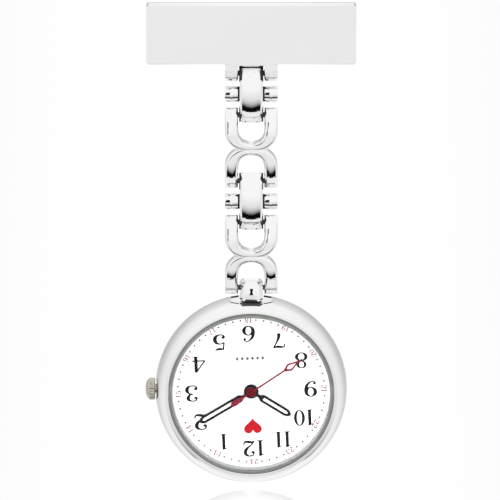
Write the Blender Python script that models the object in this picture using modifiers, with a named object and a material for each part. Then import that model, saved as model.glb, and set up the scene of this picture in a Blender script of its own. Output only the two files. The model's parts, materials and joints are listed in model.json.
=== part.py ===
"""A fob watch: a brooch bar, four hinged links and a small quartz watch that hangs upside down.

The pieces are drawn in millimetres as the watch is seen from the front: x to the right, y up and
z towards the viewer, with z = 0 on the plane of the chain's hinge pins. One empty, "drawing",
stands that drawing upright and scales it to metres: +Z up, the dial facing -Y, and the origin on
the brooch's pin stem, halfway along it, where the stem holds the cloth.
"""

import math

import bmesh
import bpy
from mathutils import Matrix

MM = 0.001
STEM_BEHIND_CHAIN = 2.6

# Brooch bar
BAR_WIDTH, BAR_HEIGHT, BAR_DEPTH = 32.5, 9.2, 3.0
BAR_FACE, BAR_WALL, BAR_CORNER = 0.8, 0.7, 0.45
FIRST_PIN_BELOW_BAR = 1.7

# Brooch pin: its hinge and catch on a strip behind the bar's face
STRIP_HALF_X, STRIP_HALF_Y, STRIP_DEPTH, GLUE_GAP = 13.0, 1.5, 0.5, 0.03
HINGE_X, CATCH_X = 11.5, -9.8
STEM_RADIUS, EYE_RADIUS, EYE_HALF, RIVET_RADIUS = 0.40, 0.85, 0.7, 0.32
EAR_INNER, EAR_OUTER, STEM_TIP, STEM_TAPER = 0.8, 1.2, 11.9, 2.2
STRIP_FRONT = BAR_DEPTH / 2 - BAR_FACE - GLUE_GAP
STRIP_REAR = STRIP_FRONT - STRIP_DEPTH

# Chain: the hinge pins, the links' pitches and the widths that every joint shares
CROSS_PITCH, DOUBLE_PITCH = 6.6, 10.5
PIN_RADIUS, PIN_HOLE, PIN_LENGTH = 0.40, 0.45, 7.9
LINK_OUTER, LINK_INNER, CENTRE_HALF = 4.1, 2.0, 1.8
KNUCKLE_HALF, KNUCKLE_INSET, BRIDGE_BOTTOM = 1.87, 0.25, -4.85
ARM_END, CENTRE_END, LUG_END = 1.1, 1.3, 1.12
WING_HALF_HEIGHT, WING_HALF_DEPTH = 1.31, 1.25

# A link's front is a dome that falls away to a flat facet at each end; its back is flat
LINK_PEAK, LINK_BACK = 1.65, 1.05
DOME_TILT = math.radians(23)
FACET, LONG_FACET = (0.55, math.radians(32)), (1.6, math.radians(28))
CROSS_DOME_START, DOUBLE_DOME_START = 0.0, 2.0
U_CENTRE, U_OUTER, U_INNER = 3.1, -0.32, 0.95

FIRST_PIN = -BAR_HEIGHT / 2 - FIRST_PIN_BELOW_BAR
PIN_HEIGHTS = [FIRST_PIN]
for pitch in (CROSS_PITCH, DOUBLE_PITCH, CROSS_PITCH, DOUBLE_PITCH):
    PIN_HEIGHTS.append(PIN_HEIGHTS[-1] - pitch)

# Watch case, measured from the case's own centre
CASE_RADIUS, BAIL_PIN_HEIGHT = 15.0, 16.3
CASE_CENTRE = PIN_HEIGHTS[-1] - BAIL_PIN_HEIGHT
NOTCH_HALF, NOTCH_FLOOR, NOTCH_BACK, SLOT_HALF = 3.15, 14.15, -0.35, 1.95
GROOVE_RADIUS, GROOVE_HALF, GROOVE_BACK = 14.78, 4.05, -0.62
BAIL_HALF, BAIL_TOP, BAIL_BOTTOM = 1.82, 1.22, -2.0
CRYSTAL_FRONT, CRYSTAL_BACK, CRYSTAL_RADIUS = 4.1, 2.9, 12.65
CASE_REAR, BACK_REAR, BACK_FLAT_RADIUS = -2.45, -3.2, 12.4
DIAL_BACK, DIAL_FRONT, DIAL_RADIUS = 1.48, 1.88, 12.65
STEM_Z = 0.35
CROWN_FACE, CROWN_RADIUS, CROWN_SEAT = 15.08, 1.75, 14.72

# Movement: plates, arbor centres and gears (teeth, module)
MOVEMENT_HALF_X, MOVEMENT_HALF_Y, MOVEMENT_CORNER = 7.65, 8.9, 3.6
PLATE_BACK, PLATE_FRONT = 0.30, 0.95
BRIDGE_BACK, BRIDGE_FRONT = -1.50, -1.05
TRAIN_DISTANCE, MOTION_DISTANCE = 3.06, 2.4
CENTRE_WHEEL, THIRD_PINION = (48, TRAIN_DISTANCE / 27), (6, TRAIN_DISTANCE / 27)
THIRD_WHEEL, FOURTH_PINION = (45, TRAIN_DISTANCE / 25.5), (6, TRAIN_DISTANCE / 25.5)
FOURTH_WHEEL, FIFTH_PINION = (30, 0.174), (6, 0.174)
FIFTH_WHEEL, ROTOR_PINION = (36, 0.106), (6, 0.106)
CANNON_TEETH, MINUTE_WHEEL = (10, MOTION_DISTANCE / 20), (30, MOTION_DISTANCE / 20)
MINUTE_PINION, HOUR_WHEEL = (8, MOTION_DISTANCE / 20), (32, MOTION_DISTANCE / 20)
SETTING_WHEEL = (13, MOTION_DISTANCE / 20)
BATTERY_AT, BATTERY_RADIUS = (4.0, 5.25), 3.4
CAN_AT = (-3.95, 6.4)
COIL_AT, COIL_LENGTH = (0.6, -7.25), 6.6
BRIDGE_LEGS = [(-4.6, -3.9), (5.4, 0.2), (-3.3, 2.5)]
CLAMP_POST, CLAMP_END = (-0.6, 3.55), (6.6, 6.46)
LEVER_PIVOT, LEVER_PIN = (-6.45, 2.0), (-6.0, 0.0)
YOKE_PIVOT, YOKE_TIP = (-5.7, -3.0), (-4.2, 0.0)

# The shown time, with 12 o'clock at the bottom of the hanging watch and the dial set a little askew
SHOWN_HOUR, SHOWN_MINUTE, SHOWN_SECOND = 10.14, 10.2, 39.7
DIAL_TURN = math.radians(2.4)

ROUND, SMALL_ROUND, TINY_ROUND = 48, 20, 8

FINISHES = {
    "chrome": ((0.80, 0.80, 0.80), 1.0, 0.10),
    "brushed_steel": ((0.62, 0.62, 0.63), 1.0, 0.32),
    "nickel": ((0.66, 0.63, 0.57), 1.0, 0.28),
    "brass": ((0.78, 0.60, 0.30), 1.0, 0.30),
    "glass": ((0.90, 0.93, 0.92), 0.0, 0.02),
    "dial_white": ((0.90, 0.90, 0.88), 0.0, 0.35),
    "hand_black": ((0.02, 0.02, 0.02), 0.0, 0.30),
    "hand_red": ((0.40, 0.03, 0.05), 0.0, 0.35),
    "rubber": ((0.03, 0.03, 0.03), 0.0, 0.70),
    "plastic": ((0.75, 0.75, 0.72), 0.0, 0.50),
    "copper": ((0.72, 0.38, 0.20), 1.0, 0.35),
    "board": ((0.04, 0.22, 0.12), 0.0, 0.50),
    "magnet": ((0.25, 0.25, 0.27), 1.0, 0.40),
}

# Turns that carry a shape's own z to another direction of the drawing
ALONG = {
    "Z": (0, 0, 0),
    "-X": (0, -math.pi / 2, 0),
    "Y": (-math.pi / 2, 0, 0),
}


# Scene and bookkeeping


def clear_scene():
    for obj in list(bpy.data.objects):
        bpy.data.objects.remove(obj, do_unlink=True)


def new_collection(name, hidden=False):
    made = bpy.data.collections.new(name)
    made.hide_render = hidden
    bpy.context.scene.collection.children.link(made)
    return made


def drawing_frame():
    frame = bpy.data.objects.new("drawing", None)
    frame.rotation_euler = (math.pi / 2, 0, 0)
    frame.location = (0, -STEM_BEHIND_CHAIN * MM, 0)
    frame.scale = (MM, MM, MM)
    return frame


def shape(name, mesh, at, along="Z"):
    """Put a mesh in the drawing as a construction shape; piece() makes a part of it."""
    obj = bpy.data.objects.new(name, mesh)
    CUTTERS.objects.link(obj)
    obj.parent = DRAWING
    obj.location = at
    obj.rotation_euler = ALONG[along]
    obj.hide_render = True
    obj.display_type = "WIRE"
    return obj


def piece(obj, name, finish, crease=35):
    """Make a part of a construction shape: its name, its material and its shading."""
    obj.name = name
    CUTTERS.objects.unlink(obj)
    PARTS.objects.link(obj)
    obj.hide_render = False
    obj.display_type = "TEXTURED"
    colour, metallic, roughness = FINISHES[finish]
    material = bpy.data.materials.new(name)
    material.use_nodes = True
    shader = material.node_tree.nodes["Principled BSDF"]
    shader.inputs["Base Color"].default_value = (*colour, 1)
    shader.inputs["Metallic"].default_value = metallic
    shader.inputs["Roughness"].default_value = roughness
    obj.data.materials.append(material)
    if obj.data.polygons:
        obj.data.shade_smooth()
        obj.data.set_sharp_from_angle(angle=math.radians(crease))
    return obj


def combine(obj, others, operation):
    for other in others:
        step = obj.modifiers.new(operation.lower(), "BOOLEAN")
        step.operation = operation
        step.object = other
    return obj


def fuse(obj, *others):
    return combine(obj, others, "UNION")


def carve(obj, *others):
    return combine(obj, others, "DIFFERENCE")


def in_case(x, y, z):
    """A place measured from the case's centre."""
    return (x, CASE_CENTRE + y, z)


# Outlines


def circle(radius, centre=(0, 0), sides=SMALL_ROUND):
    return arc(centre, radius, 0, 360 * (1 - 1 / sides), sides - 1)


def arc(centre, radius, first, last, steps):
    angles = [math.radians(first + (last - first) * i / steps) for i in range(steps + 1)]
    return [(centre[0] + radius * math.cos(a), centre[1] + radius * math.sin(a)) for a in angles]


def rounded_rectangle(half_x, half_y, radius, centre=(0, 0), steps=4):
    x, y = half_x - radius, half_y - radius
    points = []
    for number, (sx, sy) in enumerate(((1, 1), (-1, 1), (-1, -1), (1, -1))):
        corner = (centre[0] + sx * x, centre[1] + sy * y)
        points += arc(corner, radius, 90 * number, 90 * number + 90, steps)
    return points


def rectangle(left, right, bottom, top):
    return [(left, bottom), (right, bottom), (right, top), (left, top)]


def square(half):
    return rectangle(-half, half, -half, half)


def oval(half_x, half_y, power=2.6, sides=16):
    points = []
    for i in range(sides):
        c, s = math.cos(2 * math.pi * (i + 0.5) / sides), math.sin(2 * math.pi * (i + 0.5) / sides)
        x = math.copysign(abs(c) ** (2 / power), c)
        y = math.copysign(abs(s) ** (2 / power), s)
        points.append((half_x * x, half_y * y))
    return points


def strap(p, q, radius_p, radius_q, steps=8):
    """The outline of a band laid round two discs."""
    dx, dy = q[0] - p[0], q[1] - p[1]
    heading = math.degrees(math.atan2(dy, dx))
    spread = math.degrees(math.acos((radius_p - radius_q) / math.hypot(dx, dy)))
    around_p = arc(p, radius_p, heading + spread, heading + 360 - spread, steps)
    around_q = arc(q, radius_q, heading - spread, heading + spread, steps)
    return around_p + around_q


def link_front(reach, pitch, dome_start, facet, tilt):
    """The height of a link's front at a distance from its middle."""
    dome_end = pitch / 2 - facet
    run = max(0.0, min(reach, dome_end) - dome_start)
    dome = run * run / (2 * (dome_end - dome_start)) * math.tan(DOME_TILT)
    return LINK_PEAK - dome - max(0.0, reach - dome_end) * math.tan(tilt)


def link_back(reach, pitch, end):
    past = max(0.0, reach - pitch / 2) / end
    return 0.7 * (1 - math.sqrt(1 - 0.96 * past * past)) - LINK_BACK


def link_side(pitch, end, dome_start, low=FACET):
    """A link seen from its side, (depth, height) from its middle: a domed front, a flat back."""

    def outer_half(facet):
        half, span = pitch / 2, pitch / 2 - facet[0] - dome_start
        stops = [half + end] + [dome_start + span * share for share in (1, 0.75, 0.5, 0.25)]
        back = [(link_back(half + end * share, pitch, end), half + end * share)
                for share in (0, 0.5, 0.8, 1)]
        return back + [(link_front(y, pitch, dome_start, *facet), y) for y in stops]

    lower = [(depth, -y) for depth, y in reversed(outer_half(low))]
    middle = sorted({dome_start, -dome_start}, reverse=True)
    return outer_half(FACET) + [(LINK_PEAK, y) for y in middle] + lower


def knuckle_side(sign):
    """A knuckle round one pin of a cross link, a little inside the centre bar's side."""
    stops = [CROSS_PITCH / 2 + 1.15 * share for share in (-1, -0.5, -0.1, 0.5, 1)]
    front = [(link_front(y, CROSS_PITCH, CROSS_DOME_START, *FACET) - KNUCKLE_INSET, y)
             for y in stops]
    back = [(link_back(y, CROSS_PITCH, CENTRE_END) + KNUCKLE_INSET, y) for y in reversed(stops)]
    return [(depth, sign * y) for depth, y in front + back]


def bowl(half, low, fullness, steps):
    """The right half of a bowl's curve, from its lowest point up to its side."""
    depth = U_CENTRE - low
    curve = []
    for i in range(steps + 1):
        a = math.pi / 2 * i / steps
        across, fall = math.sin(a) ** (2 / fullness), abs(math.cos(a)) ** (2 / fullness)
        curve.append((half * across, low + depth * (1 - fall)))
    return curve


def u_outline():
    """The upper one of a double link's two U shapes, from the link's middle."""
    arm_top = DOUBLE_PITCH / 2 + ARM_END
    outer = bowl(LINK_OUTER, U_OUTER, 2.35, 9) + [(LINK_OUTER, arm_top)]
    inner = bowl(LINK_INNER, U_INNER, 2.3, 7) + [(LINK_INNER, arm_top)]
    right = outer + inner[::-1]
    return right + [(-x, y) for x, y in reversed(right[1:-1])]


def bail_outline():
    """The bail from the front, measured from its hinge pin."""
    low, high = 0.45, 0.75
    right = arc((BAIL_HALF - low, BAIL_BOTTOM + low), low, -90, 0, 3)
    right += arc((BAIL_HALF - high, BAIL_TOP - high), high, 0, 90, 5)
    return right + [(-x, y) for x, y in reversed(right)]


def gear_outline(gear, phase=0.0):
    """Plain tapered teeth: 0.9 module of height above the pitch circle and 1.15 below it."""
    teeth, module = gear
    pitch_radius = teeth * module / 2
    root, tip = pitch_radius - 1.15 * module, pitch_radius + 0.9 * module
    step = 2 * math.pi / teeth
    corners = ((-0.06, tip), (0.06, tip), (0.5, root))
    points = []
    for i in range(teeth):
        for offset, radius in corners:
            angle = phase + (i + offset) * step
            points.append((radius * math.cos(angle), radius * math.sin(angle)))
    return points


def meshing_phase(driver, driver_at, driver_phase, driven, driven_at):
    """The turn that puts a gap of the driven gear where the driver has a tooth."""
    line = math.atan2(driven_at[1] - driver_at[1], driven_at[0] - driver_at[0])
    along_driver = (line - driver_phase) * driver[0] / (2 * math.pi)
    return line + math.pi - (0.5 - along_driver) * 2 * math.pi / driven[0]


def gear_distance(first, second):
    return (first[0] * first[1] + second[0] * second[1]) / 2


def beside(origin, distance, degrees):
    a = math.radians(degrees)
    return (origin[0] + distance * math.cos(a), origin[1] + distance * math.sin(a))


CENTRE_AT = (0.0, 0.0)
THIRD_AT = beside(CENTRE_AT, gear_distance(CENTRE_WHEEL, THIRD_PINION), 250)
FIFTH_AT = beside(CENTRE_AT, gear_distance(FOURTH_WHEEL, FIFTH_PINION), 330)
ROTOR_AT = beside(FIFTH_AT, gear_distance(FIFTH_WHEEL, ROTOR_PINION), 310)
SETTING_AT = (-2.5, 0.0)
MINUTE_AT = (-1.05, math.sqrt(gear_distance(CANNON_TEETH, MINUTE_WHEEL) ** 2 - 1.05**2))


# Solids


def mesh_of_curve(curve):
    drawn = bpy.data.objects.new("outline", curve)
    bpy.context.scene.collection.objects.link(drawn)
    graph = bpy.context.evaluated_depsgraph_get()
    mesh = bpy.data.meshes.new_from_object(drawn.evaluated_get(graph))
    bpy.data.objects.remove(drawn, do_unlink=True)
    work = bmesh.new()
    work.from_mesh(mesh)
    bmesh.ops.remove_doubles(work, verts=work.verts, dist=0.0001)
    bmesh.ops.recalc_face_normals(work, faces=work.faces)
    work.to_mesh(mesh)
    work.free()
    return mesh


def slab(loops, thickness, at, along="Z"):
    """A flat outline, with any holes after it, given a thickness that is centred on its place.

    Along the hinge pins, an outline is drawn from the side: (depth, height).
    """
    curve = bpy.data.curves.new("outline", "CURVE")
    curve.dimensions = "2D"
    curve.fill_mode = "BOTH"
    curve.extrude = thickness / 2
    for loop in loops:
        spline = curve.splines.new("POLY")
        spline.points.add(len(loop) - 1)
        spline.use_cyclic_u = True
        for point, (x, y) in zip(spline.points, loop):
            point.co = (x, y, 0, 1)
    return shape("slab", mesh_of_curve(curve), at, along)


def layer(loops, back, front, centre=(0, 0)):
    """A slab of the watch, from its back height to its front height."""
    at = in_case(centre[0], centre[1], (back + front) / 2)
    return slab(loops, front - back, at)


def rod(radius, length, at, along="Z", sides=SMALL_ROUND):
    work = bmesh.new()
    half_step = Matrix.Rotation(math.pi / sides, 4, "Z")
    bmesh.ops.create_cone(
        work, cap_ends=True, segments=sides, radius1=radius, radius2=radius, depth=length,
        matrix=half_step,
    )
    mesh = bpy.data.meshes.new("rod")
    work.to_mesh(mesh)
    work.free()
    return shape("rod", mesh, at, along)


def post(radius, back, front, centre=(0, 0), sides=TINY_ROUND):
    """An upright rod of the watch, from its back height to its front height."""
    at = in_case(centre[0], centre[1], (back + front) / 2)
    return rod(radius, front - back, at, "Z", sides)


def block(low, high):
    """A box between two corners of the drawing."""
    size = [b - a for a, b in zip(low, high)]
    work = bmesh.new()
    bmesh.ops.create_cube(work, size=1, matrix=Matrix.Diagonal((*size, 1)))
    mesh = bpy.data.meshes.new("block")
    work.to_mesh(mesh)
    work.free()
    return shape("block", mesh, [(a + b) / 2 for a, b in zip(low, high)])


def case_block(low, high):
    return block(in_case(*low), in_case(*high))


def turned(profile, at, along="Z", steps=ROUND):
    """A turned shape: (radius, height) points, down the outer side. A ring's profile closes."""
    mesh = bpy.data.meshes.new("turned")
    edges = [(i, i + 1) for i in range(len(profile) - 1)]
    if profile[0][0] > 0:
        edges.append((len(profile) - 1, 0))
    mesh.from_pydata([(radius, 0, height) for radius, height in profile], edges, [])
    obj = shape("turned", mesh, at, along)
    screw = obj.modifiers.new("turn", "SCREW")
    screw.steps = screw.render_steps = steps
    screw.use_merge_vertices = True
    screw.merge_threshold = 0.0001
    return obj


def ring(inner, outer, back, front, steps=ROUND):
    profile = [(outer, front), (outer, back), (inner, back), (inner, front)]
    return turned(profile, in_case(0, 0, 0), steps=steps)


def cross_rod(radius, length, y, sides=16):
    """A rod along a hinge pin's axis."""
    return rod(radius, length, (0, y, 0), "-X", sides)


# Brooch


def brooch_plate():
    half_x, half_y = BAR_WIDTH / 2, BAR_HEIGHT / 2
    front = BAR_DEPTH / 2
    bar = slab([rounded_rectangle(half_x, half_y, BAR_CORNER)], BAR_DEPTH, (0, 0, 0))
    tray_depth = BAR_DEPTH - BAR_FACE + 1
    tray_outline = rounded_rectangle(half_x - BAR_WALL, half_y - BAR_WALL, 0.3)
    tray = slab([tray_outline], tray_depth, (0, 0, front - BAR_FACE - tray_depth / 2))
    carve(bar, tray)
    lug_top = FIRST_PIN_BELOW_BAR + BAR_WALL / 2
    side = [(-LUG_END, lug_top), (-LUG_END, -LUG_END), (0.85, -LUG_END), (front, -0.46)]
    side.append((front, lug_top))
    width = LINK_OUTER - LINK_INNER
    for sign in (-1, 1):
        place = (sign * (LINK_OUTER + LINK_INNER) / 2, FIRST_PIN, 0)
        fuse(bar, slab([side], width, place, "-X"))
    fuse(bar, block((-LINK_INNER - 0.1, BRIDGE_BOTTOM, 0.3), (LINK_INNER + 0.1, -4.3, front)))
    carve(bar, cross_rod(PIN_HOLE, BAR_WIDTH, FIRST_PIN))
    return piece(bar, "brooch_plate", "chrome")


def pin_base_strip():
    outline = rounded_rectangle(STRIP_HALF_X, STRIP_HALF_Y, 0.4)
    strip = slab([outline], STRIP_DEPTH, (0, 0, (STRIP_FRONT + STRIP_REAR) / 2))
    return piece(strip, "pin_base_strip", "brushed_steel")


def pin_hinge_bracket():
    front = STRIP_REAR - GLUE_GAP
    bracket = block((HINGE_X - 1, -EAR_OUTER, -3.5), (HINGE_X + 1, EAR_OUTER, front))
    gap = block((HINGE_X - 2, -EAR_INNER, -5), (HINGE_X + 2, EAR_INNER, -1.2))
    carve(bracket, gap)
    hole = rod(RIVET_RADIUS + 0.04, 4, (HINGE_X, 0, -STEM_BEHIND_CHAIN), "Y", TINY_ROUND)
    carve(bracket, hole)
    return piece(bracket, "pin_hinge_bracket", "brushed_steel")


def pin_hinge_rivet():
    place = (HINGE_X, 0, -STEM_BEHIND_CHAIN)
    rivet = rod(RIVET_RADIUS, 3.0, place, "Y", TINY_ROUND)
    for sign in (-1, 1):
        head = rod(0.55, 0.3, (HINGE_X, sign * 1.38, -STEM_BEHIND_CHAIN), "Y", TINY_ROUND)
        fuse(rivet, head)
    return piece(rivet, "pin_hinge_rivet", "brushed_steel")


def pin_stem():
    """A round wire with a point; its eye turns on the rivet."""
    place = (HINGE_X, 0, -STEM_BEHIND_CHAIN)
    eye = rod(EYE_RADIUS, 2 * EYE_HALF, place, "Y", SMALL_ROUND)
    length = HINGE_X + STEM_TIP
    profile = [(0, length), (0.08, length - 0.1), (STEM_RADIUS, length - STEM_TAPER)]
    profile += [(STEM_RADIUS, EYE_RADIUS / 2), (0, EYE_RADIUS / 2)]
    wire = turned(profile, place, "-X", 16)
    fuse(eye, wire)
    carve(eye, rod(RIVET_RADIUS + 0.04, 4, place, "Y", TINY_ROUND))
    return piece(eye, "pin_stem", "brushed_steel")


def open_ring(outer, inner, slot, length, x):
    """A short tube on the pin stem's axis, with a slot towards the back."""
    place = (x, 0, -STEM_BEHIND_CHAIN)
    tube = slab([circle(outer), circle(inner)], length, place, "-X")
    rear = -STEM_BEHIND_CHAIN
    mouth = block((x - length, -slot / 2, rear - 2 * outer), (x + length, slot / 2, rear))
    return carve(tube, mouth)


def catch_body():
    body = open_ring(1.5, 1.14, 1.2, 1.5, CATCH_X)
    foot = block((CATCH_X - 0.75, -0.6, -1.38), (CATCH_X + 0.75, 0.6, STRIP_REAR - GLUE_GAP))
    fuse(body, foot)
    return piece(body, "catch_body", "brushed_steel")


def catch_roller():
    """The inner ring of the safety catch; its thumb tab stands clear of the body."""
    roller = open_ring(1.08, 0.58, 1.1, 2.1, CATCH_X + 0.3)
    tab_x = CATCH_X + 1.1
    tab = block((tab_x - 0.2, 0.75, -0.35), (tab_x + 0.2, 2.1, 0.05))
    tab.location.z -= STEM_BEHIND_CHAIN
    fuse(roller, tab)
    return piece(roller, "catch_roller", "brushed_steel")


# Chain


def cross_link(name, top):
    """A centre bar that takes a pin at each end, with a short barrel of a wing on each side."""
    middle = top - CROSS_PITCH / 2
    side = link_side(CROSS_PITCH, CENTRE_END, CROSS_DOME_START)
    bar = slab([side], 2 * CENTRE_HALF, (0, middle, 0), "-X")
    neck = oval(0.84, 1.18)
    fuse(bar, slab([neck], 2 * LINK_INNER + 0.6, (0, middle, 0), "-X"))
    barrel = oval(WING_HALF_DEPTH, WING_HALF_HEIGHT, 2, 20)
    wing = [(max(depth, -LINK_BACK), height) for depth, height in barrel]
    for sign in (-1, 1):
        place = (sign * (LINK_OUTER + LINK_INNER) / 2, middle, 0)
        fuse(bar, slab([wing], LINK_OUTER - LINK_INNER, place, "-X"))
    for sign in (-1, 1):
        fuse(bar, slab([knuckle_side(sign)], 2 * KNUCKLE_HALF, (0, middle, 0), "-X"))
    for y in (top, top - CROSS_PITCH):
        carve(bar, cross_rod(PIN_HOLE, 3 * CENTRE_HALF, y))
    return piece(bar, name, "chrome")


def double_link(name, top, low=FACET):
    """Two U-shaped ends in one piece, each closing over the end of a cross link or the bail."""
    middle, depth = top - DOUBLE_PITCH / 2, LINK_PEAK + LINK_BACK
    place = (0, middle, LINK_PEAK - depth / 2)
    link = slab([u_outline()], depth, place)
    lower = slab([[(x, -y) for x, y in u_outline()]], depth, place)
    web = block((-2.62, middle - 0.8, 0.15 - LINK_BACK), (2.62, middle + 0.8, LINK_PEAK - 0.5))
    fuse(link, lower, web)
    side = link_side(DOUBLE_PITCH, ARM_END, DOUBLE_DOME_START, low)
    envelope = slab([side], 2 * LINK_OUTER + 1, (0, middle, 0), "-X")
    combine(link, [envelope], "INTERSECT")
    for y in (top, top - DOUBLE_PITCH):
        carve(link, cross_rod(PIN_HOLE, 3 * LINK_OUTER, y))
    return piece(link, name, "chrome")


def hinge_pin(number, y):
    return piece(cross_rod(PIN_RADIUS, PIN_LENGTH, y), f"hinge_pin_{number}", "brushed_steel")


# Case


def bail():
    """A loop for the last hinge pin, faceted at its sides, on a stem that fills the case's slot."""
    top = PIN_HEIGHTS[-1]
    rear, edge = -1.2, 1.0
    height = BAIL_TOP - BAIL_BOTTOM
    knuckle = slab([bail_outline()], 4, (0, top, 0))
    side = [(rear, BAIL_TOP + 0.1), (rear, BAIL_BOTTOM - 0.1), (1.54, BAIL_BOTTOM - 0.1)]
    side += [(1.47, -1.3), (1.345, -0.35), (1.02, 0.5), (0.52, BAIL_TOP + 0.1)]
    combine(knuckle, [slab([side], 2 * LINK_INNER, (0, top, 0), "-X")], "INTERSECT")
    facets = [(BAIL_HALF, rear - 1), (BAIL_HALF, edge), (1.3, 1.6), (-1.3, 1.6)]
    facets += [(-BAIL_HALF, edge), (-BAIL_HALF, rear - 1)]
    across = slab([[(x, -depth) for x, depth in facets]], height + 1, (0, top - 0.4, 0), "Y")
    combine(knuckle, [across], "INTERSECT")
    foot = CASE_CENTRE + NOTCH_FLOOR + 0.03
    fuse(knuckle, block((-1.5, foot, -0.95), (1.5, top - 1.7, 0.95)))
    fuse(knuckle, rod(0.7, 1.3, in_case(0, NOTCH_FLOOR - 0.35, 0), "Y", 16))
    carve(knuckle, cross_rod(PIN_HOLE, 3 * CENTRE_HALF, top))
    return piece(knuckle, "bail", "chrome")


def case_body():
    profile = [
        (12.95, 3.86), (13.02, 3.92), (13.36, 3.90), (13.85, 3.62), (14.38, 3.06), (14.75, 2.20),
        (14.96, 1.05), (CASE_RADIUS, 0.20), (CASE_RADIUS, -0.60), (14.80, -1.50), (14.34, -2.41),
        (14.28, CASE_REAR), (13.35, CASE_REAR), (13.35, -1.30), (12.75, -1.30), (12.75, 1.95),
        (12.38, 1.95), (12.58, 2.85), (12.95, 2.85),
    ]
    body = turned(profile, in_case(0, 0, 0))
    far = CASE_RADIUS + 2
    pocket = case_block((-NOTCH_HALF, NOTCH_FLOOR, NOTCH_BACK), (NOTCH_HALF, far, 6))
    slot = case_block((-SLOT_HALF, NOTCH_FLOOR, -6), (SLOT_HALF, far, 6))
    groove = ring(GROOVE_RADIUS, far, GROOVE_BACK, NOTCH_BACK)
    reach = case_block((-GROOVE_HALF, 10, -2), (GROOVE_HALF, far + 1, 2))
    combine(groove, [reach], "INTERSECT")
    tenon_hole = rod(0.75, 3.0, in_case(0, NOTCH_FLOOR, 0), "Y", 16)
    tube_hole = rod(0.86, 4.0, in_case(1 - CASE_RADIUS, 0, STEM_Z), "-X", 16)
    seat = rod(CROWN_RADIUS + 0.1, 1.6, in_case(-CROWN_SEAT - 0.8, 0, STEM_Z), "-X", 32)
    carve(body, pocket, slot, groove, tenon_hole, tube_hole, seat)
    return piece(body, "case_body", "chrome")


def case_back():
    profile = [
        (0, -2.20), (12.95, -2.20), (12.95, -1.50), (13.28, -1.50), (13.28, CASE_REAR - 0.05),
        (14.15, CASE_REAR - 0.05), (14.05, -2.80), (13.30, -3.12), (BACK_FLAT_RADIUS, BACK_REAR),
        (0, BACK_REAR),
    ]
    return piece(turned(profile, in_case(0, 0, 0)), "case_back", "brushed_steel")


def crystal():
    edge = CRYSTAL_RADIUS
    profile = [(0, CRYSTAL_FRONT), (edge - 0.3, CRYSTAL_FRONT), (edge, CRYSTAL_FRONT - 0.25)]
    profile += [(edge, CRYSTAL_BACK), (0, CRYSTAL_BACK)]
    return piece(turned(profile, in_case(0, 0, 0)), "crystal", "glass")


def gaskets():
    piece(ring(12.68, 12.92, 2.90, 3.85), "crystal_gasket", "rubber")
    piece(ring(12.80, 13.30, -1.48, -1.32), "case_back_gasket", "rubber")


def stem_tube():
    profile = [(0.80, 1.45), (0.80, -1.20), (0.56, -1.20), (0.56, 1.45)]
    tube = turned(profile, in_case(-13.9, 0, STEM_Z), "-X", 16)
    return piece(tube, "stem_tube", "nickel")


def crown():
    """A knurled, domed cap that is recessed over the end of the stem tube."""
    edge = CROWN_RADIUS
    profile = [(0, 1.10), (0.50, 1.10), (0.50, 0.40), (0.95, 0.40), (0.95, 0)]
    profile += [(edge - 0.12, 0), (edge, 0.12), (edge, 1.0), (edge - 0.25, 1.25), (0.9, 1.44)]
    profile.append((0, 1.48))
    profile.reverse()
    cap = turned(profile, in_case(-CROWN_FACE, 0, STEM_Z), "-X", 28)
    return piece(cap, "crown", "nickel", crease=20)


def setting_stem():
    """Round in its tube, grooved for the setting lever, square inside the clutch wheel."""
    outer_end, groove, groove_half = 16.1, -LEVER_PIN[0], 0.22
    profile = [(0, outer_end), (0.45, outer_end), (0.45, groove + groove_half)]
    profile += [(0.25, groove + groove_half), (0.25, groove - groove_half)]
    profile += [(0.45, groove - groove_half), (0.45, 5.3), (0, 5.3)]
    stem = turned(profile, in_case(0, 0, STEM_Z), "-X", 16)
    fuse(stem, slab([square(0.22)], 2.3, in_case(-4.45, 0, STEM_Z), "-X"))
    return piece(stem, "setting_stem", "brushed_steel")


def movement_ring():
    opening = rounded_rectangle(MOVEMENT_HALF_X + 0.15, MOVEMENT_HALF_Y + 0.15, 3.7)
    holder = layer([circle(12.6, sides=ROUND), opening], -2.15, 1.42)
    carve(holder, rod(0.6, 6.0, in_case(-10, 0, STEM_Z), "-X", 16))
    return piece(holder, "movement_ring", "plastic")


def dial():
    disc = layer([circle(DIAL_RADIUS, sides=ROUND), circle(1.0)], DIAL_BACK, DIAL_FRONT)
    return piece(disc, "dial", "dial_white")


# Hands


def dial_turn(share):
    """The turn from straight up of a hand that is a share of the way round the dial."""
    return math.pi - 2 * math.pi * share + DIAL_TURN


def baton_hand(name, length, back, hub, hole, share):
    half, neck = 0.60, 0.24
    start, shoulder, point = 0.8, 2.0, 0.85
    right = [(neck, start), (neck, shoulder - 0.4), (half, shoulder), (half, length - point)]
    outline = right + [(0, length)] + [(-x, y) for x, y in reversed(right)]
    slot = rectangle(-0.21, 0.21, shoulder + 0.27, length - point - 0.08)
    front = back + 0.12
    blade = layer([outline, slot], back, front)
    boss = layer([circle(hub)], back, front)
    bore = post(hole, back - 1, front + 1, sides=SMALL_ROUND)
    carve(fuse(blade, boss), bore)
    blade.rotation_euler.z = dial_turn(share)
    return piece(blade, name, "hand_black")


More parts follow.
